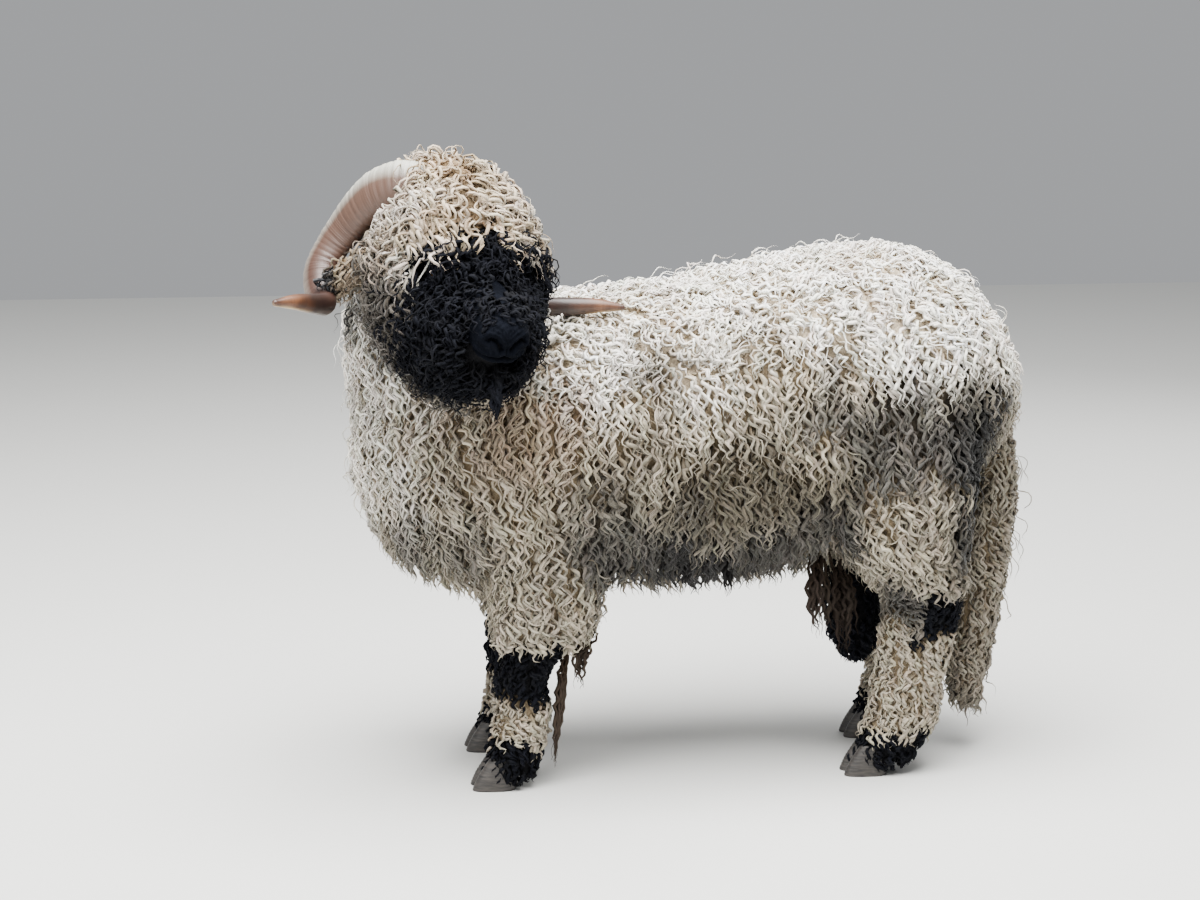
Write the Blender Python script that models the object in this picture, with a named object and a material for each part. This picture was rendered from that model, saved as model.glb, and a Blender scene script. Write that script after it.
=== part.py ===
"""A Valais blacknose ram, standing, life size: a still model of the animal in full fleece.

The ram faces -X and its left side is towards -Y. Its head is turned to its left, over the shoulder.
Flesh and fleece are lofted forms with curled clumps of wool set on them. All of them are joined into
one body, and thin cuts then part that body into the pieces that a person would name.
"""

import math
import random

import bmesh
import bpy
import numpy as np
from mathutils import Matrix

# The ram's driving sizes, in metres.
RUMP_HEIGHT = 0.833
BREAST_X = -0.395
GAP = 0.0003
FLEECE_LIFT = 0.036
HOOD_LIFT = 0.030
FACE_LIFT = 0.028
LEG_LIFT = 0.012
CLUMP_PITCH = 0.138
HOOD_PITCH = 0.102
FACE_PITCH = 0.080
KEPT_SHARE = 0.42
FLAT = math.radians(0.02)
SEED = 7

# Where the middle of the model's box lies in the frame that the sizes below are measured in.
BOX_MIDDLE = (0.0837, -0.0766)

WOOL = (0.62, 0.56, 0.46)
DARK_WOOL = (0.035, 0.032, 0.035)
HORN = (0.36, 0.25, 0.17)
HOOF = (0.06, 0.055, 0.05)
EYE = (0.25, 0.13, 0.04)

SIDE = np.array([0.0, 1.0, 0.0])
UP = np.array([0.0, 0.0, 1.0])
FORWARD = np.array([-1.0, 0.0, 0.0])

# The head's own directions: it looks to the ram's left and a little back, with the nose down.
HEAD_YAW = math.radians(108.5)
HEAD_PITCH = math.radians(22.0)
HEAD_ROLL = math.radians(4.0)
HEAD_ROOT = np.array([-0.268, -0.14, 0.847])


def unit(vector):
    return np.asarray(vector, float) / np.linalg.norm(vector)


def head_axes():
    """The face's direction, the head's left and the head's up, as unit vectors."""
    level = np.array([-math.cos(HEAD_YAW), -math.sin(HEAD_YAW), 0.0])
    face = level * math.cos(HEAD_PITCH) - UP * math.sin(HEAD_PITCH)
    left = np.cross(UP, level)
    up = np.cross(face, left)
    cos, sin = math.cos(HEAD_ROLL), math.sin(HEAD_ROLL)
    return face, left * cos - up * sin, up * cos + left * sin


FACE, HEAD_LEFT, HEAD_UP = head_axes()


def in_head(left, forward, up):
    """A point given in the head's own directions, in the model's frame."""
    return HEAD_ROOT + HEAD_LEFT * left + FACE * forward + HEAD_UP * up


def along(table, share):
    """A smooth curve through the rows of a table (Catmull-Rom), read at shares from 0 to 1."""
    table = np.asarray(table, float)
    place = np.clip(np.atleast_1d(share), 0.0, 1.0) * (len(table) - 1)
    first = np.minimum(place.astype(int), len(table) - 2)
    t = (place - first)[:, None]
    padded = np.vstack([2 * table[0] - table[1], table, 2 * table[-1] - table[-2]])
    a, b, c, d = (padded[first + k] for k in range(4))
    return 0.5 * (2 * b + (c - a) * t + (2 * a - 5 * b + 4 * c - d) * t**2 + (3 * b - a - 3 * c + d) * t**3)


class Form:
    """A body lofted through stations: x, y, z of the middle, then the reach to the side, up and down."""

    def __init__(self, stations, side=SIDE, up=UP, inset=0.0, fullness=2.2):
        self.table = np.asarray(stations, float)
        self.table[:, 3:6] = np.maximum(self.table[:, 3:6] - inset, 0.006)
        self.side = unit(side)
        self.up = unit(up)
        self.axis = np.cross(self.side, self.up)
        self.fullness = fullness

    def ring(self, share, angle):
        """Points of the surface at shares along the body and angles round it: 0 at the side, 90 on top."""
        row = along(self.table, share)
        across, height = np.cos(angle), np.sin(angle)
        power = 2.0 / self.fullness
        across = np.sign(across) * np.abs(across) ** power
        height = np.sign(height) * np.abs(height) ** power
        reach = np.where(height > 0, row[:, 4], row[:, 5])
        return row[:, :3] + (row[:, 3] * across)[:, None] * self.side + (reach * height)[:, None] * self.up

    def point(self, share, angle):
        return self.ring(np.array([share]), np.array([angle]))[0]

    def normal(self, share, angle):
        """The outward direction, from two short steps on the surface."""
        step = 0.01
        down = self.point(min(share + step, 1), angle) - self.point(max(share - step, 0), angle)
        round_ = self.point(share, angle + step) - self.point(share, angle - step)
        out = unit(np.cross(round_, down))
        middle = along(self.table, share)[0, :3]
        return out if out @ (self.point(share, angle) - middle) > 0 else -out

    def girth(self, share):
        angles = np.linspace(0, 2 * math.pi, 25)
        points = self.ring(np.full(25, share), angles)
        return np.linalg.norm(np.diff(points, axis=0), axis=1).sum()

    def length(self):
        return np.linalg.norm(np.diff(self.table[:, :3], axis=0), axis=1).sum()

    def depth(self, point):
        """Below 1 where a point is inside: its distance from the middle line over the surface's."""
        heights = self.table[:, :3] @ self.axis
        order = np.argsort(heights)
        level = point @ self.axis
        if not heights.min() < level < heights.max():
            return 9.0
        share = np.interp(level, heights[order], order / (len(heights) - 1))
        row = along(self.table, share)[0]
        offset = point - row[:3]
        across = abs(offset @ self.side) / row[3]
        height = offset @ self.up
        height = abs(height) / (row[4] if height > 0 else row[5])
        return (across**self.fullness + height**self.fullness) ** (1 / self.fullness)


# A clump's rings: the lean along its lie, its reach, both as shares of its half length, and its height.
CLUMP_RINGS = (
    (-0.10, 1.00, -0.55),
    (0.08, 0.70, 0.60),
)
CLUMP_TOP = (0.18, 0.96)
# A clump's length and width over the distance between clumps, and the same for the width in a ring.
CLUMP_LENGTH = 1.46
CLUMP_WIDTH = 1.30
RING_OVERLAP = 1.25


def mesh_object(name, points, faces):
    mesh = bpy.data.meshes.new(name)
    mesh.from_pydata([tuple(map(float, p)) for p in points], [], faces)
    body = bpy.data.objects.new(name, mesh)
    bpy.context.scene.collection.objects.link(body)
    return body


def turned_out(body):
    """Makes the faces of a closed mesh point outwards."""
    work = bmesh.new()
    work.from_mesh(body.data)
    bmesh.ops.recalc_face_normals(work, faces=work.faces)
    work.to_mesh(body.data)
    work.free()
    return body


def ring_faces(rings, sides):
    """Triangles between rings of points, with a flat face over each end."""
    faces = [tuple(range(sides))[::-1], tuple(range((rings - 1) * sides, rings * sides))]
    for ring in range(rings - 1):
        for side in range(sides):
            other = (side + 1) % sides
            low, high = ring * sides, (ring + 1) * sides
            faces.append((low + side, low + other, high + other))
            faces.append((low + side, high + other, high + side))
    return faces


def loft(name, form, rings, sides):
    """A form as a closed mesh."""
    shares = np.repeat(np.linspace(0, 1, rings), sides)
    angles = np.tile(np.arange(sides) * 2 * math.pi / sides, rings)
    return turned_out(mesh_object(name, form.ring(shares, angles), ring_faces(rings, sides)))


def clump(root, out, lie, length, width, lift, sides=5):
    """A clump of curled wool: a sunk root, a rounded back, and a top that leans the way the wool hangs."""
    across = unit(np.cross(out, lie))
    points = []
    for ring, (lean, reach, rise) in enumerate(CLUMP_RINGS):
        for side in range(sides):
            angle = 2 * math.pi * (side + 0.5 * ring) / sides
            along_lie = lie * length / 2 * (lean + reach * math.cos(angle))
            to_side = across * width / 2 * reach * math.sin(angle)
            points.append(root + along_lie + to_side + out * lift * rise)
    lean, rise = CLUMP_TOP
    points.append(root + lie * length / 2 * lean + out * lift * rise)
    faces = ring_faces(len(CLUMP_RINGS), sides)
    end = faces.pop(1)
    faces += [(end[k], end[(k + 1) % sides], len(points) - 1) for k in range(sides)]
    return turned_out(mesh_object("clump", points, faces))


def fall(out, drift):
    """The direction along the surface in which wool hangs: down, with a drift where the surface is level."""
    down = -UP + np.asarray(drift, float)
    return unit(down - out * (down @ out))


def wool_on(form, pitch, lift, draw, keep, drift, start=0.04, stop=0.97, sides=5):
    """Clumps in staggered rows over a form, varied in size and place by a seeded draw."""
    pieces = []
    rows = max(2, round(form.length() * (stop - start) / pitch))
    for row in range(rows):
        share = start + (stop - start) * (row + 0.5) / rows
        count = max(4, round(form.girth(share) / pitch))
        for place in range(count):
            angle = 2 * math.pi * (place + 0.5 * (row % 2) + draw.uniform(-0.14, 0.14)) / count
            spot = min(max(share + draw.uniform(-0.18, 0.18) / rows, 0.01), 0.99)
            root = form.point(spot, angle)
            size = pitch * draw.uniform(0.9, 1.15)
            sway = draw.uniform(-0.3, 0.3)
            height = lift * draw.uniform(0.85, 1.1)
            if keep(root):
                out = form.normal(spot, angle)
                lie = fall(out, drift)
                lie = unit(lie + np.cross(out, lie) * sway)
                pieces.append(clump(root, out, lie, size * CLUMP_LENGTH, size * CLUMP_WIDTH, height, sides))
    return pieces


def rings_on(form, rings, draw):
    """Rings of clumps round a leg or the tail: the level of each ring, its count and its clumps' length."""
    levels = form.table[:, 2]
    pieces = []
    for level, count, height in rings:
        share = np.interp(-level, -levels, np.linspace(0, 1, len(levels)))
        width = form.girth(share) / count * RING_OVERLAP
        for place in range(count):
            turn = 2 * math.pi * (place + 0.5 + draw.uniform(-0.1, 0.1)) / count
            size = draw.uniform(0.93, 1.05)
            lift = LEG_LIFT * draw.uniform(0.85, 1.1)
            root = form.point(share, turn)
            if torso.depth(root) > 0.92:
                out = form.normal(share, turn)
                pieces.append(clump(root, out, fall(out, (0, 0, 0)), height * size, width * size, lift))
    return pieces


def box_cutter(name, low, high):
    bpy.ops.mesh.primitive_cube_add(size=1)
    cutter = bpy.context.object
    cutter.name = name
    size = np.subtract(high, low)
    centre = (np.asarray(high) + low) / 2
    for vertex in cutter.data.vertices:
        vertex.co = centre + np.array(vertex.co) * size
    return cutter


def slab_cutter(name, point, away, depth=3.0):
    """A large block on the far side of a plane through a point."""
    away = unit(away)
    first = unit(np.cross(away, UP if abs(away[2]) < 0.9 else SIDE))
    second = np.cross(away, first)
    point = np.asarray(point, float)
    around = ((-1, -1), (1, -1), (1, 1), (-1, 1))
    corners = [point + (first * a + second * b) * depth for a, b in around]
    corners += [corner + away * depth for corner in corners]
    return turned_out(mesh_object(name, corners, ring_faces(2, 4)))


def applied(body):
    """Bakes a body's modifiers into its mesh."""
    graph = bpy.context.evaluated_depsgraph_get()
    made = bpy.data.meshes.new_from_object(body.evaluated_get(graph))
    body.modifiers.clear()
    body.data = made
    return body


def boolean(body, others, operation):
    """One Boolean on a collection of closed meshes, applied, with those meshes then removed."""
    group = bpy.data.collections.new("operands")
    for other in others:
        group.objects.link(other)
    modifier = body.modifiers.new("cut", "BOOLEAN")
    modifier.operation = operation
    modifier.solver = "MANIFOLD"
    modifier.operand_type = "COLLECTION"
    modifier.collection = group
    applied(body)
    for other in list(group.objects):
        bpy.data.objects.remove(other)
    bpy.data.collections.remove(group)
    return body


def largest_shell(body):
    """Keeps the largest closed surface of a mesh, so that no scrap or sealed hollow is left."""
    work = bmesh.new()
    work.from_mesh(body.data)
    bmesh.ops.remove_doubles(work, verts=work.verts, dist=2e-6)
    bmesh.ops.triangulate(work, faces=work.faces)
    left = set(work.faces)
    shells = []
    while left:
        front = [left.pop()]
        shell = list(front)
        while front:
            near = {f for edge in front.pop().edges for f in edge.link_faces} & left
            left -= near
            front += near
            shell += near
        shells.append(shell)
    shells.sort(key=lambda shell: sum(f.calc_area() for f in shell))
    bmesh.ops.delete(work, geom=[f for shell in shells[:-1] for f in shell], context="FACES")
    loose = [v for v in work.verts if not v.link_faces]
    bmesh.ops.delete(work, geom=loose, context="VERTS")
    bmesh.ops.dissolve_limit(work, angle_limit=FLAT, verts=work.verts, edges=work.edges)
    bmesh.ops.triangulate(work, faces=work.faces)
    work.to_mesh(body.data)
    work.free()
    return body


def copy_of(body, name):
    twin = bpy.data.objects.new(name, body.data.copy())
    bpy.context.scene.collection.objects.link(twin)
    return twin


def finish(name, body, colour, roughness, smooth=False):
    """Names a piece, moves it to the model's frame and gives it its material and shading."""
    body.name = name
    body.data.name = name
    body.data.transform(Matrix.Translation((-BOX_MIDDLE[0], -BOX_MIDDLE[1], 0)))
    material = bpy.data.materials.new(name)
    material.use_nodes = True
    shader = material.node_tree.nodes["Principled BSDF"]
    shader.inputs["Base Color"].default_value = (*colour, 1)
    shader.inputs["Roughness"].default_value = roughness
    shader.inputs["Metallic"].default_value = 0.0
    body.data.materials.clear()
    body.data.materials.append(material)
    for polygon in body.data.polygons:
        polygon.material_index = 0
        polygon.use_smooth = smooth
    for group in list(body.users_collection):
        group.objects.unlink(body)
    MODEL.objects.link(body)
    return body


# The stations of each form, out to the tips of the fleece.
TORSO = (
    (BREAST_X + 0.025, 0, 0.515, 0.060, 0.060, 0.060),
    (-0.33, 0, 0.515, 0.150, 0.150, 0.155),
    (-0.25, 0, 0.520, 0.200, 0.215, 0.212),
    (-0.15, 0, 0.520, 0.225, 0.238, 0.232),
    (-0.03, 0, 0.530, 0.235, 0.238, 0.228),
    (0.10, 0, 0.540, 0.243, 0.242, 0.235),
    (0.22, 0, 0.550, 0.245, 0.256, 0.240),
    (0.34, 0, 0.570, 0.240, 0.258, 0.240),
    (0.44, 0, 0.590, 0.232, RUMP_HEIGHT - 0.59, 0.230),
    (0.53, 0, 0.600, 0.212, 0.208, 0.205),
    (0.595, 0, 0.600, 0.170, 0.148, 0.120),
    (0.637, 0, 0.600, 0.100, 0.075, 0.060),
)
NECK = (
    (-0.26, 0, 0.42, 0.120, 0.100, 0.120),
    (-0.25, 0, 0.50, 0.160, 0.125, 0.150),
    (-0.245, -0.015, 0.60, 0.160, 0.155, 0.160),
    (-0.250, -0.045, 0.68, 0.152, 0.158, 0.155),
    (-0.252, -0.080, 0.76, 0.140, 0.150, 0.140),
    (-0.250, -0.105, 0.83, 0.118, 0.120, 0.115),
)
FORE_LEG = (
    (-0.095, 0.100, 0.50, 0.090, 0.100, 0.100),
    (-0.100, 0.115, 0.36, 0.078, 0.090, 0.088),
    (-0.112, 0.118, 0.27, 0.068, 0.074, 0.082),
    (-0.135, 0.115, 0.215, 0.054, 0.054, 0.058),
    (-0.147, 0.112, 0.165, 0.046, 0.047, 0.045),
    (-0.147, 0.110, 0.115, 0.045, 0.046, 0.050),
    (-0.155, 0.110, 0.065, 0.047, 0.050, 0.048),
    (-0.163, 0.110, 0.022, 0.044, 0.052, 0.042),
)
HIND_LEG = (
    (0.440, 0.100, 0.60, 0.110, 0.130, 0.130),
    (0.440, 0.128, 0.48, 0.100, 0.130, 0.120),
    (0.455, 0.130, 0.38, 0.084, 0.100, 0.098),
    (0.487, 0.124, 0.30, 0.062, 0.070, 0.070),
    (0.486, 0.118, 0.24, 0.053, 0.064, 0.066),
    (0.475, 0.115, 0.17, 0.052, 0.062, 0.060),
    (0.467, 0.112, 0.105, 0.054, 0.060, 0.060),
    (0.450, 0.110, 0.060, 0.052, 0.060, 0.058),
    (0.432, 0.110, 0.022, 0.044, 0.056, 0.048),
)
TAIL = (
    (0.590, 0, 0.62, 0.040, 0.030, 0.030),
    (0.618, 0, 0.54, 0.048, 0.040, 0.042),
    (0.629, 0, 0.46, 0.050, 0.044, 0.047),
    (0.626, 0, 0.36, 0.048, 0.042, 0.046),
    (0.611, 0, 0.25, 0.046, 0.040, 0.044),
    (0.600, 0, 0.16, 0.044, 0.040, 0.040),
    (0.596, 0, 0.10, 0.030, 0.030, 0.030),
)
SCROTUM = (
    (0.405, 0, 0.38, 0.030, 0.034, 0.034),
    (0.405, 0, 0.30, 0.032, 0.036, 0.034),
    (0.408, 0, 0.235, 0.037, 0.040, 0.040),
    (0.412, 0, 0.190, 0.032, 0.035, 0.035),
    (0.414, 0, 0.165, 0.012, 0.014, 0.014),
)
# The head's wool and the bare head, along the face's direction: forward, up, then the reaches.
HEAD_WOOL = (
    (-0.115, 0.000, 0.035, 0.040, 0.050),
    (-0.080, 0.005, 0.078, 0.085, 0.090),
    (-0.030, 0.015, 0.088, 0.120, 0.110),
    (0.020, 0.015, 0.098, 0.135, 0.130),
    (0.060, 0.005, 0.125, 0.135, 0.140),
    (0.100, -0.005, 0.137, 0.115, 0.140),
    (0.135, -0.020, 0.125, 0.090, 0.140),
    (0.165, -0.035, 0.095, 0.055, 0.115),
)
FACE_WOOL = (
    (0.020, -0.015, 0.060, 0.050, 0.060),
    (0.070, -0.025, 0.108, 0.080, 0.125),
    (0.120, -0.033, 0.120, 0.085, 0.142),
    (0.170, -0.038, 0.118, 0.074, 0.138),
    (0.215, -0.040, 0.102, 0.055, 0.118),
    (0.245, -0.040, 0.078, 0.036, 0.090),
    (0.262, -0.042, 0.050, 0.016, 0.055),
)
SKULL = (
    (-0.060, 0.000, 0.040, 0.035, 0.040),
    (-0.020, 0.000, 0.060, 0.055, 0.065),
    (0.040, 0.000, 0.066, 0.058, 0.085),
    (0.100, 0.000, 0.062, 0.046, 0.080),
    (0.150, -0.004, 0.052, 0.038, 0.066),
    (0.200, -0.010, 0.043, 0.032, 0.052),
    (0.245, -0.016, 0.041, 0.030, 0.043),
    (0.272, -0.020, 0.034, 0.024, 0.036),
    (0.285, -0.022, 0.019, 0.013, 0.020),
)


def head_stations(table):
    """Stations of the head's table as rows in the model's frame."""
    return [(*in_head(0, forward, up), *reaches) for forward, up, *reaches in table]


def leg_stations(table, side, stride):
    """A leg's stations on the left (side -1) or right (side 1), swung by a stride that grows downwards."""
    swing = [stride * min(1.0, (HIP_LEVEL - row[2]) / (HIP_LEVEL - FETLOCK_LEVEL)) for row in table]
    return [(x + shift, side * y, *rest) for shift, (x, y, *rest) in zip(swing, table)]


HIP_LEVEL = 0.60
FETLOCK_LEVEL = 0.08
# Each leg: its stations, its side, and its stride against the left leg of the pair.
LEGS = {
    "fore_left": (FORE_LEG, -1, 0.010),
    "fore_right": (FORE_LEG, 1, 0.020),
    "hind_left": (HIND_LEG, -1, 0.0),
    "hind_right": (HIND_LEG, 1, 0.050),
}
# Levels at which a leg is parted: top of the leg, knee or hock, below it, and top of the black foot.
FORE_CUTS = (0.315, 0.205, 0.140, 0.085)
HIND_CUTS = (0.345, 0.290, 0.225, 0.085)


# Rings of clumps on a leg: the level of the roots, the number round the leg and the length of a clump.
FORE_RINGS = (
    (0.300, 5, 0.112),
    (0.242, 5, 0.080),
    (0.174, 5, 0.062),
    (0.115, 5, 0.054),
    (0.056, 5, 0.050),
)
TAIL_RINGS = (
    (0.500, 4, 0.130),
    (0.395, 4, 0.130),
    (0.290, 4, 0.130),
    (0.190, 4, 0.115),
)
HIND_RINGS = (
    (0.540, 6, 0.130),
    (0.450, 6, 0.120),
    (0.360, 6, 0.100),
    (0.262, 5, 0.066),
    (0.185, 5, 0.074),
    (0.120, 5, 0.066),
    (0.058, 5, 0.050),
)


def leg_form(name, inset):
    table, side, shift = LEGS[name]
    return Form(leg_stations(table, side, shift), up=FORWARD, inset=inset)


def claw_form(leg, inner, grow=0.0):
    """One claw of the cloven hoof, from a flat sole up to the coronet."""
    table, side, shift = LEGS[leg]
    foot = table[-1]
    middle_y = side * foot[1] + (0.0165 if inner else -0.0165)
    x = foot[0] + shift
    rows = (
        (-0.022, -grow, 0.0150, 0.042, 0.026),
        (-0.018, 0.022, 0.0145, 0.036, 0.027),
        (-0.010, 0.048 + grow, 0.0130, 0.027, 0.024),
    )
    stations = [(x + dx, middle_y, z, w + grow, f + grow, r + grow) for dx, z, w, f, r in rows]
    return Form(stations, up=FORWARD, fullness=2.3)


def build_horn(name, side, grow=0.0):
    """A horn that leaves the crown, curls out, back and down round the ear, and ends in a level tip."""
    path = along(HORN_PATH, np.linspace(0, 1, HORN_RINGS))
    points = []
    for ring in range(HORN_RINGS):
        share = ring / (HORN_RINGS - 1)
        middle = in_head(*(path[ring, :3] * (side, 1, 1)))
        before = in_head(*(path[max(ring - 1, 0), :3] * (side, 1, 1)))
        after = in_head(*(path[min(ring + 1, HORN_RINGS - 1), :3] * (side, 1, 1)))
        run = unit(after - before)
        heart = in_head(side * HORN_HEART[0], HORN_HEART[1], HORN_HEART[2])
        if ring in (0, HORN_RINGS - 1):
            middle = middle + run * (grow if ring else -grow)
        inward = heart - middle
        inward = unit(inward - run * (inward @ run))
        flat = np.cross(run, inward)
        broad, thick = path[ring, 3:5]
        ridge = 1 + 0.045 * (-1) ** ring * (share < 0.75)
        for corner in range(HORN_SIDES):
            angle = 2 * math.pi * corner / HORN_SIDES
            points.append(
                middle
                + inward * (broad * ridge + grow) * math.cos(angle)
                + flat * (thick * ridge + grow) * math.sin(angle)
            )
    return turned_out(mesh_object(name, points, ring_faces(HORN_RINGS, HORN_SIDES)))


# The horn's line in the head's directions (out, forward, up), then its half breadth and half thickness.
HORN_RINGS = 30
HORN_SIDES = 8
HORN_HEART = (0.10, 0.03, -0.03)
HORN_PATH = (
    (0.026, 0.015, 0.086, 0.032, 0.022),
    (0.048, 0.004, 0.090, 0.034, 0.023),
    (0.072, -0.012, 0.082, 0.035, 0.023),
    (0.092, -0.034, 0.057, 0.035, 0.022),
    (0.105, -0.050, 0.024, 0.034, 0.021),
    (0.116, -0.060, -0.010, 0.032, 0.020),
    (0.132, -0.060, -0.042, 0.029, 0.019),
    (0.150, -0.044, -0.072, 0.026, 0.019),
    (0.160, -0.008, -0.092, 0.023, 0.019),
    (0.168, 0.036, -0.088, 0.021, 0.019),
    (0.202, 0.070, -0.068, 0.0165, 0.0160),
    (0.243, 0.094, -0.054, 0.0110, 0.0105),
    (0.280, 0.110, -0.048, 0.0045, 0.0042),
)


def ear_form(side, grow=0.0):
    """An ear that stands out level behind the horn's curl, as a flat leaf."""
    rows = (
        (0.050, 0.012, 0.002, 0.013, 0.016),
        (0.078, 0.015, -0.010, 0.014, 0.021),
        (0.106, 0.015, -0.026, 0.013, 0.026),
        (0.131, 0.011, -0.041, 0.012, 0.025),
        (0.151, 0.004, -0.054, 0.010, 0.019),
        (0.165, -0.003, -0.063, 0.006, 0.008),
    )
    stations = [
        (*in_head(side * out, forward, up), thick + grow, broad + grow, broad + grow)
        for out, forward, up, thick, broad in rows
    ]
    for end, way in ((0, -1), (-1, 1)):
        stations[end] = (*(stations[end][:3] + HEAD_LEFT * side * way * grow), *stations[end][3:])
    return Form(stations, side=FACE, up=HEAD_UP, fullness=2.0)


def ear_cup(side):
    """The hollow of an ear: a narrower leaf that is sunk into its front."""
    rows = (
        (0.090, 0.028, -0.017, 0.010, 0.008),
        (0.108, 0.026, -0.027, 0.011, 0.016),
        (0.131, 0.021, -0.041, 0.010, 0.015),
        (0.149, 0.013, -0.053, 0.007, 0.009),
    )
    middles = [in_head(side * out, forward, up) for out, forward, up, thick, broad in rows]
    stations = [(*middle, row[3], row[4], row[4]) for middle, row in zip(middles, rows)]
    return Form(stations, side=FACE, up=HEAD_UP, fullness=2.0)


def tube(name, path, radius, sides=5):
    """A round bar along a path of points, for a groove or a rim."""
    path = np.asarray(path, float)
    points = []
    for k, middle in enumerate(path):
        run = unit(path[min(k + 1, len(path) - 1)] - path[max(k - 1, 0)])
        first = unit(np.cross(run, HEAD_UP))
        second = np.cross(run, first)
        for side in range(sides):
            angle = 2 * math.pi * side / sides
            points.append(middle + (first * math.cos(angle) + second * math.sin(angle)) * radius)
    return turned_out(mesh_object(name, points, ring_faces(len(path), sides)))


def ball(name, centre, radius, segments=12, rings=8):
    bpy.ops.mesh.primitive_uv_sphere_add(segments=segments, ring_count=rings, radius=radius)
    sphere = bpy.context.object
    sphere.name = name
    sphere.data.transform(Matrix.Translation(tuple(centre)))
    return sphere


EYE_RADIUS = 0.0165


def eye_centre(side):
    return in_head(side * 0.0425, 0.126, 0.011)


def eye_gaze(side):
    return unit(HEAD_LEFT * side * 0.84 + FACE * 0.44 + HEAD_UP * 0.30)


def eye_cone(name, side, near, far, sides=14):
    """A cone along the gaze; near and far are its distance, its half length and its half height."""
    gaze = eye_gaze(side)
    across = unit(np.cross(HEAD_UP, gaze))
    stations = [(*(eye_centre(side) + gaze * reach), wide, high, high) for reach, wide, high in (near, far)]
    return loft(name, Form(stations, side=across, up=np.cross(gaze, across), fullness=2.0), 2, sides)


for old in list(bpy.data.objects):
    bpy.data.objects.remove(old)
MODEL = bpy.data.collections.new("valais_blacknose_ram")
bpy.context.scene.collection.children.link(MODEL)

DRAW = random.Random(SEED)

torso = Form(TORSO, inset=FLEECE_LIFT)
neck = Form(NECK, up=FORWARD, inset=FLEECE_LIFT)
hood = Form(head_stations(HEAD_WOOL), side=HEAD_LEFT, up=HEAD_UP, inset=HOOD_LIFT)
face = Form(head_stations(FACE_WOOL), side=HEAD_LEFT, up=HEAD_UP, inset=FACE_LIFT)
skull = Form(head_stations(SKULL), side=HEAD_LEFT, up=HEAD_UP)
tail = Form(TAIL, up=FORWARD, inset=LEG_LIFT * 0.8)
scrotum = Form(SCROTUM, up=FORWARD)
legs = {name: leg_form(name, LEG_LIFT) for name in LEGS}


def clear_of(*forms):
    """True for a root that lies outside the cores of these forms, or only just inside."""
    return lambda root: all(form.depth(root) > 0.84 for form in forms)


def off_the_muzzle(root):
    """Leaves the bridge of the nose and the lips bare, and the neck's wool to the neck."""
    offset = root - HEAD_ROOT
    forward, left, up = offset @ FACE, offset @ HEAD_LEFT, offset @ HEAD_UP
    bridge = forward > 0.12 and abs(left) < 0.04 and up > -0.07
    return not bridge and hood.depth(root) > 0.97


cores = [loft("neck_core", neck, 9, 14), loft("hood_core", hood, 10, 14), loft("face_core", face, 8, 14)]
cores += [loft("skull_core", skull, 16, 14), loft("tail_core", tail, 8, 8), loft("scrotum_core", scrotum, 7, 10)]
cores += [loft(name + "_core", form, 12, 10) for name, form in legs.items()]

wool = wool_on(torso, CLUMP_PITCH, FLEECE_LIFT, DRAW, clear_of(neck, *legs.values()), (0.35, 0, 0), sides=6)
wool += wool_on(neck, CLUMP_PITCH * 0.9, FLEECE_LIFT, DRAW, clear_of(torso, hood), (-0.1, 0, 0))
wool += wool_on(hood, HOOD_PITCH, HOOD_LIFT, DRAW, clear_of(neck, face), FACE * 0.6)
wool += wool_on(face, FACE_PITCH, FACE_LIFT, DRAW, off_the_muzzle, FACE * 0.2, stop=0.93)
wool += rings_on(tail, TAIL_RINGS, DRAW)
for name, leg in legs.items():
    wool += rings_on(leg, FORE_RINGS if name.startswith("fore") else HIND_RINGS, DRAW)

ram = largest_shell(boolean(loft("ram", torso, 12, 18), cores + wool, "UNION"))
# The union leaves slivers where clumps cross, so the smallest changes of shape are merged away.
slivers = ram.modifiers.new("slivers", "DECIMATE")
slivers.ratio = KEPT_SHARE
applied(ram)

fittings = [build_horn("horn_space", side, GAP) for side in (1, -1)]
fittings += [loft("ear_space", ear_form(side, GAP), 9, 10) for side in (1, -1)]
boolean(ram, fittings, "DIFFERENCE")

# The planes and boxes that part the ram: a point on each cut, and the direction across it.
NECK_CUT = (np.array([-0.06, 0, 0.775]), unit((-0.592, 0, 0.806)))
HEAD_CUT = (in_head(0, -0.02, -0.105), unit((0.10, -0.74, 0.66)))
SHOULDER_CUT = (np.array([-0.15, -0.172, 0.702]), unit((0.05, -0.73, 0.69)))
TAIL_TOP = (np.array([0.59, 0, 0.605]), unit((0.64, 0, 0.77)))
TAIL_FRONT = (np.array([0.592, 0, 0.60]), unit((1, 0, -0.088)))
TAIL_SPACE = 0.062
SCROTUM_LOW = np.array([0.33, -0.0415, -0.2])
SCROTUM_HIGH = np.array([0.475, 0.0415, 0.335])


def beyond(cut, name, away=1.0, gap=GAP / 2):
    """A block on one side of a cut: the side that the cut's direction points to, or the other."""
    point, direction = cut
    return slab_cutter(name, point - direction * away * gap, direction * away)


def parted(name, body, cutters):
    """A copy of a body with the cutters taken away."""
    return largest_shell(boolean(copy_of(body, name), cutters, "DIFFERENCE"))


def kept_in(name, body, block):
    """The part of a body inside a convex block."""
    return largest_shell(boolean(copy_of(body, name), [block], "INTERSECT"))


def leg_box(name, grow=0.0):
    """The space that belongs to a leg, under the trunk, by its lowest and highest corners."""
    side = LEGS[name][1]
    if name.startswith("fore"):
        low, high, top, inner = -0.235, 0.065, FORE_CUTS[0], 0.0004
    else:
        low, high, top, inner = 0.30, 0.605, HIND_CUTS[0], 0.042
    near, far = sorted((side * (inner - grow), side * 0.4))
    return (low - grow, near, -0.2), (high + grow, far, top + grow)


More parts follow.
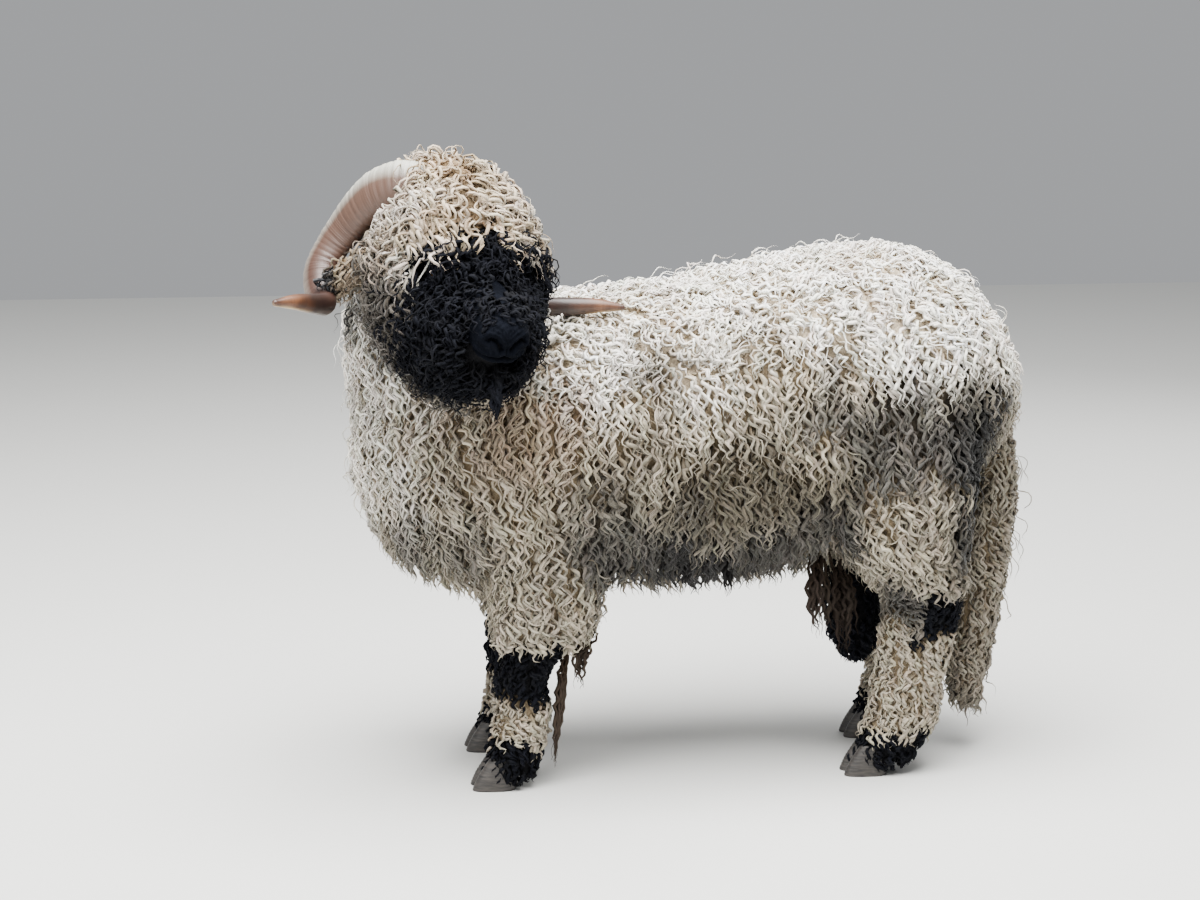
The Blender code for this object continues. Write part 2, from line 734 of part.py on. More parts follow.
def face_block(name, grow=0.0):
    """The space that belongs to the black face: an oval bar that looks along the face."""
    rows = ((0.105 - grow, -0.058), (0.34, -0.062))
    reaches = (0.128 + grow, 0.118 + grow, 0.118 + grow)
    stations = [(*in_head(0, forward, up), *reaches) for forward, up in rows]
    block = loft(name, Form(stations, side=HEAD_LEFT, up=HEAD_UP, fullness=2.5), 2, 20)
    return boolean(block, [beyond(SHOULDER_CUT, "shoulder_side", -1.0, -grow)], "DIFFERENCE")


def tail_wedge(name, grow=0.0):
    """The space that belongs to the tail: behind the thighs and under the rump."""
    top = TAIL_TOP[0] + TAIL_TOP[1] * grow
    front = TAIL_FRONT[0] - TAIL_FRONT[1] * grow
    level_cut = np.array([[TAIL_TOP[1][0], TAIL_TOP[1][2]], [TAIL_FRONT[1][0], TAIL_FRONT[1][2]]])
    corner_x, corner_z = np.linalg.solve(level_cut, [top @ TAIL_TOP[1], front @ TAIL_FRONT[1]])
    corner = np.array([corner_x, 0, corner_z])
    slope = np.array([TAIL_TOP[1][2], 0, -TAIL_TOP[1][0]]) * 0.5
    plumb = np.array([TAIL_FRONT[1][2], 0, -TAIL_FRONT[1][0]]) * 0.9
    across = np.array([0, TAIL_SPACE + grow, 0])
    outline = [corner, corner + slope, corner + slope - UP * 1.2, corner + plumb]
    points = [p - across for p in outline] + [p + across for p in outline]
    return turned_out(mesh_object(name, points, ring_faces(2, 4)))


trunk_cutters = [beyond(NECK_CUT, "neck_side"), box_cutter("scrotum_space", SCROTUM_LOW, SCROTUM_HIGH)]
trunk_cutters += [tail_wedge("tail_space"), face_block("face_space", GAP / 2)]
trunk_cutters += [box_cutter(name + "_space", *leg_box(name)) for name in LEGS]
finish("torso", parted("trunk", ram, trunk_cutters), WOOL, 0.95)

front = boolean(copy_of(ram, "front"), [beyond(NECK_CUT, "trunk_side", -1.0)], "DIFFERENCE")
neck_cutters = [beyond(HEAD_CUT, "head_side"), face_block("face_space", GAP / 2)]
finish("neck", parted("throat", front, neck_cutters), WOOL, 0.95)

head = boolean(copy_of(front, "head_all"), [beyond(HEAD_CUT, "throat_side", -1.0)], "DIFFERENCE")
finish("forelock", parted("hood", head, [face_block("face_space", GAP / 2)]), WOOL, 0.95)

# The black face, with its eyes, lids, nostrils and mouth.
black_face = kept_in("face", ram, face_block("face_room", -GAP / 2))
hollows = [eye_cone("eye_hollow", side, (0.0165, 0.024, 0.021), (0.11, 0.052, 0.046)) for side in (1, -1)]
boolean(black_face, hollows, "DIFFERENCE")
boolean(black_face, [ball("lid", eye_centre(side), EYE_RADIUS + 0.0032) for side in (1, -1)], "UNION")
details = [ball("eye_space", eye_centre(side), EYE_RADIUS + GAP) for side in (1, -1)]
details += [eye_cone("lid_slit", side, (0.004, 0.0135, 0.0085), (0.024, 0.0155, 0.0105)) for side in (1, -1)]
for side in (1, -1):
    nostril = ((0.0085, 0.284, -0.030), (0.0150, 0.281, -0.020), (0.0230, 0.276, -0.012))
    details.append(tube("nostril", [in_head(side * out, forward, up) for out, forward, up in nostril], 0.0038, 6))
MOUTH_ANGLE = math.radians(-38.0)
lip_shares = np.linspace(0.74, 0.992, 8)
mouth = [skull.point(share, math.pi - MOUTH_ANGLE) for share in lip_shares]
mouth += [skull.point(share, MOUTH_ANGLE) for share in lip_shares[::-1]]
details.append(tube("mouth", mouth, 0.0022))
philtrum = [in_head(0, 0.2865, -0.021), in_head(0, 0.2865, -0.031)]
details.append(tube("philtrum", philtrum, 0.0016))
finish("head", largest_shell(boolean(black_face, details, "DIFFERENCE")), DARK_WOOL, 0.95)

for label, side in (("left", 1), ("right", -1)):
    finish("eye_" + label, ball("eyeball", eye_centre(side), EYE_RADIUS), EYE, 0.1, True)
    finish("horn_" + label, build_horn("horn", side), HORN, 0.55, True)
    ear = loft("ear_leaf", ear_form(side), 9, 10)
    spaces = [build_horn("horn_by_ear", side, GAP), loft("cup", ear_cup(side), 6, 10)]
    finish("ear_" + label, largest_shell(boolean(ear, spaces, "DIFFERENCE")), DARK_WOOL, 0.9)

finish("tail", kept_in("tail_all", ram, tail_wedge("tail_room", -GAP)), WOOL, 0.95)
inward = np.array([GAP, GAP, 0])
scrotum_room = box_cutter("scrotum_room", SCROTUM_LOW + inward, SCROTUM_HIGH - inward - UP * GAP)
finish("scrotum", kept_in("scrotum_all", ram, scrotum_room), DARK_WOOL, 0.95)

for name in LEGS:
    low, high = leg_box(name, -GAP)
    cuts = FORE_CUTS if name.startswith("fore") else HIND_CUTS
    joint = "knee" if name.startswith("fore") else "hock"
    levels = [high[2] + GAP / 2, *cuts[1:], -0.2]
    colours = (WOOL, DARK_WOOL, WOOL, DARK_WOOL)
    for part_name, colour, top, bottom in zip(("upper", joint, "cannon", "foot"), colours, levels, levels[1:]):
        room = box_cutter("room", (low[0], low[1], bottom + GAP / 2), (high[0], high[1], top - GAP / 2))
        piece = kept_in("piece", ram, room)
        if name.startswith("hind"):
            piece = largest_shell(boolean(piece, [tail_wedge("tail_space", GAP)], "DIFFERENCE"))
        if part_name == "foot":
            claws = [loft("claw_space", claw_form(name, inner, GAP), 3, 10) for inner in (False, True)]
            piece = largest_shell(boolean(piece, claws, "DIFFERENCE"))
        finish(f"{name}_{part_name}", piece, colour, 0.95)
    for inner, word in ((False, "outer"), (True, "inner")):
        finish(f"{name}_claw_{word}", loft("claw", claw_form(name, inner), 3, 10), HOOF, 0.5)

for spare in (ram, front, head):
    bpy.data.objects.remove(spare)
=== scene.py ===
# %% [markdown]
# A Valais blacknose ram in full fleece, standing and looking back over its left shoulder.
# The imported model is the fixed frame: its solids say where everything is and how far it reaches.
# This lesson dresses that frame. One skin is stretched over the whole animal, some twenty thousand
# curled locks are combed over the skin, and the muzzle, eyes, horns and claws are made on their own.

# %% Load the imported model
import math
from collections import namedtuple

import bmesh
import bpy
import numpy as np
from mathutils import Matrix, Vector


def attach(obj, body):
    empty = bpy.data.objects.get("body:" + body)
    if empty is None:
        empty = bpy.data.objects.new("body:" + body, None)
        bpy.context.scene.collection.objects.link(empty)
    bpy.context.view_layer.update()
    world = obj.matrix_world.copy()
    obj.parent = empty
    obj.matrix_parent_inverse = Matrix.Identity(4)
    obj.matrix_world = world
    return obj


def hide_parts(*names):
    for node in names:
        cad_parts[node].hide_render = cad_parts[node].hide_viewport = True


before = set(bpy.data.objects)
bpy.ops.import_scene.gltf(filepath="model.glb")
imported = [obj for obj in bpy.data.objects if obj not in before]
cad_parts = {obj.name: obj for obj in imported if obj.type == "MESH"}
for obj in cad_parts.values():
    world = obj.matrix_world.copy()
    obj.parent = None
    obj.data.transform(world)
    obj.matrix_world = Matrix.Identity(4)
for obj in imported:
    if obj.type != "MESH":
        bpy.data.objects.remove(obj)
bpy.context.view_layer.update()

draw = np.random.default_rng(11)

# %% [markdown]
# The ram faces -X, and its left side is towards -Y. The sizes below are measured from a point on the
# floor under its breastbone, and MIDDLE is where the middle of the model's box lies from there.
# The head has directions of its own, because it is turned, and a little tilted, against the body.

# %% Directions
MIDDLE = np.array([0.0837, -0.0766, 0.0])
SIDE = np.array([0.0, 1.0, 0.0])
UP = np.array([0.0, 0.0, 1.0])
FORWARD = np.array([-1.0, 0.0, 0.0])
HEAD_YAW, HEAD_PITCH, HEAD_ROLL = math.radians(108.5), math.radians(22.0), math.radians(4.0)
HEAD_ROOT = np.array([-0.268, -0.14, 0.847]) - MIDDLE


def unit(vectors):
    """Each vector over its own length."""
    vectors = np.asarray(vectors, float)
    return vectors / np.maximum(np.linalg.norm(vectors, axis=-1, keepdims=True), 1e-9)


def dot(a, b):
    return np.sum(a * b, axis=-1, keepdims=True)


def soft_step(low, high, value):
    """0 below low, 1 above high, and 3t^2 - 2t^3 between them."""
    t = np.clip((value - low) / (high - low), 0.0, 1.0)
    return t * t * (3 - 2 * t)


level_gaze = np.array([-math.cos(HEAD_YAW), -math.sin(HEAD_YAW), 0.0])
FACE = level_gaze * math.cos(HEAD_PITCH) - UP * math.sin(HEAD_PITCH)
level_left = np.cross(UP, level_gaze)
level_up = np.cross(FACE, level_left)
HEAD_LEFT = level_left * math.cos(HEAD_ROLL) - level_up * math.sin(HEAD_ROLL)
HEAD_UP = level_up * math.cos(HEAD_ROLL) + level_left * math.sin(HEAD_ROLL)


def in_head(left, forward, up):
    """The head's root, plus left, forward and up times the head's three directions."""
    left, forward, up = (np.asarray(value, float)[..., None] for value in (left, forward, up))
    return HEAD_ROOT + HEAD_LEFT * left + FACE * forward + HEAD_UP * up


def head_coordinates(points):
    """How far points lie to the left, forward and up in the head."""
    offset = points - HEAD_ROOT
    return offset @ HEAD_LEFT, offset @ FACE, offset @ HEAD_UP


print("the face looks along", FACE.round(2))

# %% [markdown]
# A body like this could be sculpted by hand, or grown from metaballs. Stations are easier to read
# and to change: each row gives the middle of a cross-section and how far it reaches to the side, up
# and down. A Catmull-Rom curve runs smoothly through the rows, and each section is a superellipse,
# which is an ellipse with slightly squarer shoulders.

# %% Bodies from stations
END_ROOM = 0.05
THINNEST = 0.006


def smooth_curve(table, share):
    """Catmull-Rom: half of 2b + (c-a)t + (2a-5b+4c-d)t^2 + (3b-a-3c+d)t^3 between rows b and c."""
    table = np.asarray(table, float)
    place = np.clip(share, 0.0, 1.0) * (len(table) - 1)
    first = np.minimum(place.astype(int), len(table) - 2)
    t = (place - first)[..., None]
    padded = np.concatenate([[2 * table[0] - table[1]], table, [2 * table[-1] - table[-2]]])
    a, b, c, d = (padded[first + k] for k in range(4))
    return 0.5 * (2 * b + (c - a) * t + (2 * a - 5 * b + 4 * c - d) * t**2 + (3 * b - a - 3 * c + d) * t**3)


class Form:
    """A body lofted through stations: x, y, z of the middle, then the reach to the side, up and down."""

    def __init__(self, stations, side=SIDE, up=UP, inset=0.0, fullness=2.2, in_body=True):
        self.rows = np.array(stations, float)
        if in_body:
            self.rows[:, :3] -= MIDDLE
        self.rows[:, 3:6] = np.maximum(self.rows[:, 3:6] - inset, THINNEST)
        self.side, self.up, self.fullness = side, up, fullness
        self.axis = np.cross(side, up)

    def surface(self, share, angle):
        """middle + side reach * cos^(2/n) * side + up or down reach * sin^(2/n) * up."""
        row = smooth_curve(self.rows, share)
        power = 2.0 / self.fullness
        across, height = np.cos(angle), np.sin(angle)
        across = np.sign(across) * np.abs(across) ** power
        height = np.sign(height) * np.abs(height) ** power
        reach = np.where(height > 0, row[..., 4], row[..., 5])
        aside = (row[..., 3] * across)[..., None] * self.side
        return row[..., :3] + aside + (reach * height)[..., None] * self.up

    def place(self, points):
        """
        The share and angle of points, and their depth: 0 on the middle line and 1 on the surface.

        depth = ((|across| / reach)^n + (|height| / reach)^n)^(1/n), and 1 more each END_ROOM past an end
        """
        heights = self.rows[:, :3] @ self.axis
        order = np.argsort(heights)
        share = np.interp(points @ self.axis, heights[order], order / (len(heights) - 1))
        row = smooth_curve(self.rows, share)
        offset = points - row[..., :3]
        across, height = offset @ self.side, offset @ self.up
        reach = np.where(height > 0, row[..., 4], row[..., 5])
        flat, tall = np.abs(across) / row[..., 3], np.abs(height) / reach
        beyond = np.maximum(heights.min() - points @ self.axis, points @ self.axis - heights.max())
        depth = (flat**self.fullness + tall**self.fullness) ** (1 / self.fullness)
        return share, np.arctan2(height, across), depth + np.maximum(beyond, 0) / END_ROOM


# %% [markdown]
# The ram's own sections come next: a deep barrel of a trunk, a neck that bends to the left, legs
# with a fleece skirt over the knee, a woolly tail and the head under its hood of curls. All of them
# are given out to the tips of the fleece, so each is drawn in by the depth of its wool.

# %% The ram's sections
TRUNK = (
    (-0.370, 0, 0.515, 0.060, 0.060, 0.060),
    (-0.330, 0, 0.515, 0.150, 0.150, 0.155),
    (-0.250, 0, 0.520, 0.200, 0.215, 0.212),
    (-0.150, 0, 0.520, 0.225, 0.238, 0.232),
    (-0.030, 0, 0.530, 0.235, 0.238, 0.228),
    (0.100, 0, 0.540, 0.243, 0.242, 0.235),
    (0.220, 0, 0.550, 0.245, 0.256, 0.240),
    (0.340, 0, 0.570, 0.240, 0.258, 0.240),
    (0.440, 0, 0.590, 0.232, 0.243, 0.230),
    (0.530, 0, 0.600, 0.212, 0.208, 0.205),
    (0.595, 0, 0.600, 0.170, 0.148, 0.120),
    (0.637, 0, 0.600, 0.100, 0.075, 0.060),
)
NECK = (
    (-0.260, 0.000, 0.42, 0.120, 0.100, 0.120),
    (-0.250, 0.000, 0.50, 0.160, 0.125, 0.150),
    (-0.245, -0.015, 0.60, 0.160, 0.155, 0.160),
    (-0.250, -0.045, 0.68, 0.152, 0.158, 0.155),
    (-0.252, -0.080, 0.76, 0.140, 0.150, 0.140),
    (-0.250, -0.105, 0.83, 0.118, 0.120, 0.115),
)
FORE_LEG = (
    (-0.095, 0.100, 0.50, 0.090, 0.100, 0.100),
    (-0.100, 0.115, 0.36, 0.078, 0.090, 0.088),
    (-0.112, 0.118, 0.27, 0.068, 0.074, 0.082),
    (-0.135, 0.115, 0.215, 0.054, 0.054, 0.058),
    (-0.147, 0.112, 0.165, 0.046, 0.047, 0.045),
    (-0.147, 0.110, 0.115, 0.045, 0.046, 0.050),
    (-0.155, 0.110, 0.065, 0.047, 0.050, 0.048),
    (-0.163, 0.110, 0.022, 0.044, 0.052, 0.042),
)
HIND_LEG = (
    (0.440, 0.100, 0.60, 0.110, 0.130, 0.130),
    (0.440, 0.128, 0.48, 0.100, 0.130, 0.120),
    (0.455, 0.130, 0.38, 0.084, 0.100, 0.098),
    (0.487, 0.124, 0.30, 0.062, 0.070, 0.070),
    (0.486, 0.118, 0.24, 0.053, 0.064, 0.066),
    (0.475, 0.115, 0.17, 0.052, 0.062, 0.060),
    (0.467, 0.112, 0.105, 0.054, 0.060, 0.060),
    (0.450, 0.110, 0.060, 0.052, 0.060, 0.058),
    (0.432, 0.110, 0.022, 0.044, 0.056, 0.048),
)
TAIL = (
    (0.590, 0, 0.62, 0.040, 0.030, 0.030),
    (0.618, 0, 0.54, 0.048, 0.040, 0.042),
    (0.629, 0, 0.46, 0.050, 0.044, 0.047),
    (0.626, 0, 0.36, 0.048, 0.042, 0.046),
    (0.611, 0, 0.25, 0.046, 0.040, 0.044),
    (0.600, 0, 0.16, 0.044, 0.040, 0.040),
    (0.596, 0, 0.10, 0.030, 0.030, 0.030),
)
SCROTUM = (
    (0.405, 0, 0.38, 0.030, 0.034, 0.034),
    (0.405, 0, 0.30, 0.032, 0.036, 0.034),
    (0.408, 0, 0.235, 0.037, 0.040, 0.040),
    (0.412, 0, 0.190, 0.032, 0.035, 0.035),
    (0.414, 0, 0.165, 0.012, 0.014, 0.014),
)
# The head's rows go forward and up in the head, then to the side, up and down.
HOOD = (
    (-0.115, 0.000, 0.035, 0.040, 0.050),
    (-0.080, 0.005, 0.078, 0.085, 0.090),
    (-0.030, 0.015, 0.088, 0.120, 0.110),
    (0.020, 0.015, 0.098, 0.135, 0.130),
    (0.060, 0.005, 0.125, 0.135, 0.140),
    (0.100, -0.005, 0.137, 0.115, 0.140),
    (0.135, -0.020, 0.125, 0.090, 0.140),
    (0.165, -0.035, 0.095, 0.055, 0.115),
)
FACE_WOOL = (
    (0.020, -0.015, 0.060, 0.050, 0.060),
    (0.070, -0.025, 0.108, 0.080, 0.125),
    (0.120, -0.033, 0.120, 0.085, 0.142),
    (0.170, -0.038, 0.118, 0.074, 0.138),
    (0.215, -0.040, 0.102, 0.055, 0.118),
    (0.245, -0.040, 0.078, 0.036, 0.090),
    (0.262, -0.042, 0.050, 0.016, 0.055),
)
SKULL = (
    (-0.060, 0.000, 0.040, 0.035, 0.040),
    (-0.020, 0.000, 0.060, 0.055, 0.065),
    (0.040, 0.000, 0.066, 0.058, 0.085),
    (0.100, 0.000, 0.062, 0.046, 0.080),
    (0.150, -0.004, 0.052, 0.038, 0.066),
    (0.200, -0.010, 0.043, 0.032, 0.052),
    (0.245, -0.016, 0.041, 0.030, 0.043),
    (0.272, -0.020, 0.034, 0.024, 0.036),
    (0.285, -0.022, 0.019, 0.013, 0.020),
)
HIP_LEVEL, FETLOCK_LEVEL = 0.60, 0.08
STRIDES = {"fore_left": 0.010, "fore_right": 0.020, "hind_left": 0.0, "hind_right": 0.050}
FLEECE_DEPTH, HOOD_DEPTH, FACE_DEPTH, LEG_DEPTH = 0.028, 0.015, 0.027, 0.013


def head_form(table, inset, up=HEAD_UP):
    """Rows in the head's directions, as a form."""
    rows = [(*in_head(0.0, forward, lift), *reaches) for forward, lift, *reaches in table]
    return Form(rows, side=HEAD_LEFT, up=up, inset=inset, in_body=False)


def leg_form(name):
    """A leg's rows on its own side, swung by the stride: shift = stride * (hip - z) / (hip - fetlock)."""
    side = -1 if name.endswith("left") else 1
    table = FORE_LEG if name.startswith("fore") else HIND_LEG
    swing = [STRIDES[name] * min(1.0, (HIP_LEVEL - row[2]) / (HIP_LEVEL - FETLOCK_LEVEL)) for row in table]
    rows = [(x + shift, side * y, *rest) for shift, (x, y, *rest) in zip(swing, table)]
    return Form(rows, up=FORWARD, inset=LEG_DEPTH)


forms = {
    "trunk": Form(TRUNK, inset=FLEECE_DEPTH),
    "neck": Form(NECK, up=FORWARD, inset=FLEECE_DEPTH),
    "hood": head_form(HOOD, HOOD_DEPTH),
    "face": head_form(FACE_WOOL, FACE_DEPTH),
    "skull": head_form(SKULL, 0.003),
    "tail": Form(TAIL, up=FORWARD, inset=LEG_DEPTH),
    "scrotum": Form(SCROTUM, up=FORWARD, inset=0.004),
}
forms.update({name: leg_form(name) for name in STRIDES})
print(len(forms), "forms")

# %% [markdown]
# The ears stand out level from the head, behind the curl of the horns. Each is a leaf: a flat form.

# %% Ears
EAR = (
    (0.050, 0.012, 0.002, 0.012, 0.014),
    (0.078, 0.015, -0.010, 0.012, 0.019),
    (0.106, 0.015, -0.026, 0.011, 0.024),
    (0.131, 0.011, -0.041, 0.010, 0.023),
    (0.151, 0.004, -0.054, 0.008, 0.017),
    (0.164, -0.003, -0.063, 0.005, 0.007),
)
for label, side in (("ear_left", 1), ("ear_right", -1)):
    rows = [(*in_head(side * out, ahead, lift), thick, broad, broad)
            for out, ahead, lift, thick, broad in EAR]
    forms[label] = Form(rows, side=FACE, up=HEAD_UP, in_body=False)
print("with the ears there are", len(forms), "forms")

# %% [markdown]
# Every surface here is a grid of points: rows along the piece and columns round it. Three helpers
# serve them all. One lays out the grid's shares and angles, one draws a tube's ends together, and
# one writes points and faces straight into a mesh, which is far quicker than adding them one by one.

# %% Meshes from grids of points
def make_mesh(name, points, corners):
    """A mesh object from an array of points and an array of faces that all have as many corners."""
    mesh = bpy.data.meshes.new(name)
    faces, sides = corners.shape
    mesh.vertices.add(len(points))
    mesh.vertices.foreach_set("co", np.ascontiguousarray(points, np.float32).ravel())
    mesh.loops.add(faces * sides)
    mesh.loops.foreach_set("vertex_index", np.ascontiguousarray(corners, np.int32).ravel())
    mesh.polygons.add(faces)
    mesh.polygons.foreach_set("loop_start", np.arange(faces, dtype=np.int32) * sides)
    mesh.polygons.foreach_set("use_smooth", np.ones(faces, bool))
    mesh.update(calc_edges=True)
    made = bpy.data.objects.new(name, mesh)
    bpy.context.scene.collection.objects.link(made)
    return made


def grid_corners(rows, columns, closed=True):
    """Quads between rows of points; a closed grid joins its last column to its first."""
    row = np.arange(rows - 1)[:, None]
    column = np.arange(columns if closed else columns - 1)[None, :]
    beside = (column + 1) % columns
    near, far = row * columns, (row + 1) * columns
    quads = [near + column, near + beside, far + beside, far + column]
    return np.stack(np.broadcast_arrays(*quads), axis=-1).reshape(-1, 4)


def share_and_angle(shares, columns):
    """Shares along a piece, one to a row, and angles once round it, one to a column."""
    turn = np.linspace(0, 2 * np.pi, columns, endpoint=False)
    return np.meshgrid(shares, turn, indexing="ij")


def drawn_together(points, tip=0.0):
    """A tube's rows of points, and one more row at each end, where they all meet in the middle."""
    ends = [np.broadcast_to(points[k].mean(0), points[k].shape) for k in (0, -1)]
    return np.concatenate([[ends[0]], points, [ends[1] + tip]])


def closed_loft(form, rows, columns):
    """Points and quads of a form, with both ends drawn together to a point."""
    points = drawn_together(form.surface(*share_and_angle(np.linspace(0, 1, rows), columns)))
    return points.reshape(-1, 3), grid_corners(rows + 2, columns)


# %% [markdown]
# A sheep has one unbroken skin, so the flesh of the frame, which is parted by thin cuts, is hidden
# behind a single mesh. The closed forms are laid into one another and a voxel remesh melts them
# together, which is quicker and safer here than a dozen unions. A little smoothing then fills the
# creases where a leg or the neck meets the trunk, as muscle does.

# %% One skin
SKIN_VOXEL = 0.0075


def remeshed(made, voxel, smoothing):
    """The mesh as one closed surface of even quads, each as wide as a voxel, with its creases relaxed."""
    melt = made.modifiers.new("melt", "REMESH")
    melt.mode = "VOXEL"
    melt.voxel_size = voxel
    relax = made.modifiers.new("relax", "SMOOTH")
    relax.factor = 0.5
    relax.iterations = smoothing
    baked = bpy.data.meshes.new_from_object(made.evaluated_get(bpy.context.evaluated_depsgraph_get()))
    made.modifiers.clear()
    made.data = baked
    baked.polygons.foreach_set("use_smooth", np.ones(len(baked.polygons), bool))
    return made


parts = [closed_loft(form, 40, 48) for form in forms.values()]
starts = np.cumsum([0] + [len(points) for points, quads in parts[:-1]])
skin = make_mesh(
    "skin",
    np.concatenate([points for points, quads in parts]),
    np.concatenate([quads + start for start, (points, quads) in zip(starts, parts)]),
)
remeshed(skin, SKIN_VOXEL, 4)
print("the skin has", len(skin.data.polygons), "quads")

# %% [markdown]
# The eyes lie deep under the wool, so the skin sinks to them in a hollow. Everything about an eye is
# measured along its gaze: how far a point is in front of the eye, and how far beside the gaze.

# %% Hollows for the eyes
EYE_RADIUS = 0.0163
HOLLOW_AHEAD, HOLLOW_INNER, HOLLOW_OUTER = 0.008, 0.017, 0.029


def eye_frame(side):
    """The eye's middle, its gaze, the way across and the way up."""
    gaze = unit(HEAD_LEFT * side * 0.84 + FACE * 0.44 + HEAD_UP * 0.30)
    across = unit(np.cross(HEAD_UP, gaze))
    return in_head(side * 0.0425, 0.126, 0.011), gaze, across, np.cross(gaze, across)


def from_gaze(points, side):
    """How far points lie in front of an eye's middle, and how far beside the line of its gaze."""
    centre, gaze, _, _ = eye_frame(side)
    offset = points - centre
    ahead = offset @ gaze
    return ahead, np.linalg.norm(offset - ahead[..., None] * gaze, axis=-1)


def vertex_array(made, what="co"):
    """All the vertices' places, or their normals, as rows of an array."""
    values = np.empty(len(made.data.vertices) * 3, np.float32)
    if what == "co":
        made.data.vertices.foreach_get("co", values)
    else:
        made.data.vertex_normals.foreach_get("vector", values)
    return values.reshape(-1, 3).astype(float)


# ahead becomes HOLLOW_AHEAD near the gaze, and stays as it was beyond HOLLOW_OUTER.
sunk = vertex_array(skin)
for side in (1, -1):
    ahead, beside = from_gaze(sunk, side)
    share = soft_step(HOLLOW_OUTER, HOLLOW_INNER, beside) * (ahead > HOLLOW_AHEAD)
    sunk -= ((ahead - HOLLOW_AHEAD) * share)[:, None] * eye_frame(side)[1]
skin.data.vertices.foreach_set("co", sunk.astype(np.float32).ravel())
skin.data.update()
print("the eyes look along", eye_frame(1)[1].round(2), "and", eye_frame(-1)[1].round(2))

# %% [markdown]
# Combing needs to know, for any point near the body, the nearest point of the skin and which way is
# out. Blender's Shrinkwrap modifier does just that for a whole cloud of points at once: wrapped with
# no offset it gives the foot of each point, and wrapped with an offset it gives the way out.

# %% The nearest skin
FEELER = 0.01


def wrapped(points, offset):
    """The points moved to the nearest skin, and then out from it by an offset."""
    cloud = bpy.data.meshes.new("cloud")
    cloud.vertices.add(len(points))
    cloud.vertices.foreach_set("co", points.astype(np.float32).ravel())
    probe = bpy.data.objects.new("cloud", cloud)
    bpy.context.scene.collection.objects.link(probe)
    wrap = probe.modifiers.new("wrap", "SHRINKWRAP")
    wrap.target = skin
    wrap.wrap_method = "NEAREST_SURFACEPOINT"
    wrap.wrap_mode = "ABOVE_SURFACE"
    wrap.offset = offset
    moved = bpy.data.meshes.new_from_object(probe.evaluated_get(bpy.context.evaluated_depsgraph_get()))
    places = np.empty(len(points) * 3, np.float32)
    moved.vertices.foreach_get("co", places)
    bpy.data.objects.remove(probe)
    bpy.data.meshes.remove(moved)
    return places.reshape(-1, 3).astype(float)


def on_skin(points):
    """The nearest points of the skin, and the ways out there."""
    flat = points.reshape(-1, 3)
    foot = wrapped(flat, 0.0)
    out = unit(wrapped(flat, FEELER) - foot)
    return foot.reshape(points.shape), out.reshape(points.shape)


# %% [markdown]
# The markings belong to the animal, not to a material: black face, ears, knees, hocks and feet, and
# a cream fleece that is dirty on the thigh and darker below, partly from dirt and partly as painted
# shade, with painted shade also under the head and by the tail. They could be painted or put into
# nodes, but the skin and each lock rooted in it have to agree. So they are worked out once, from places
# on the body, by one function in numpy for both, with soft steps, soft spots and no picture.

# %% Tints, stains and painted shade
CREAM = np.array([0.93, 0.895, 0.825])
FLANK = np.array([0.42, 0.37, 0.285])
BLACK = np.array([0.0026, 0.0031, 0.0058])
# Grey dirt, which also serves as painted shade under the belly and brisket.
GREY_DIRT_AND_SHADE = np.array([0.085, 0.078, 0.068])
# Near-black dirt, which also serves as painted shade by the tail and under the belly.
DARK_DIRT_AND_SHADE = np.array([0.016, 0.015, 0.015])
TAN = np.array([0.42, 0.28, 0.17])
SHADED = np.array([0.135, 0.115, 0.080])
MUD = np.array([0.050, 0.036, 0.027])
POLL, BROW = np.array([0.255, 0.198, 0.138]), np.array([0.47, 0.355, 0.225])
SMOKE, EAR_TINT = np.array([0.036, 0.031, 0.026]), np.array([0.27, 0.205, 0.135])
# Black bands on the legs: from one height to another.
FORE_BLACK = ((0.150, 0.244), (-0.1, 0.083))
HIND_BLACK = ((0.230, 0.316), (-0.1, 0.084))
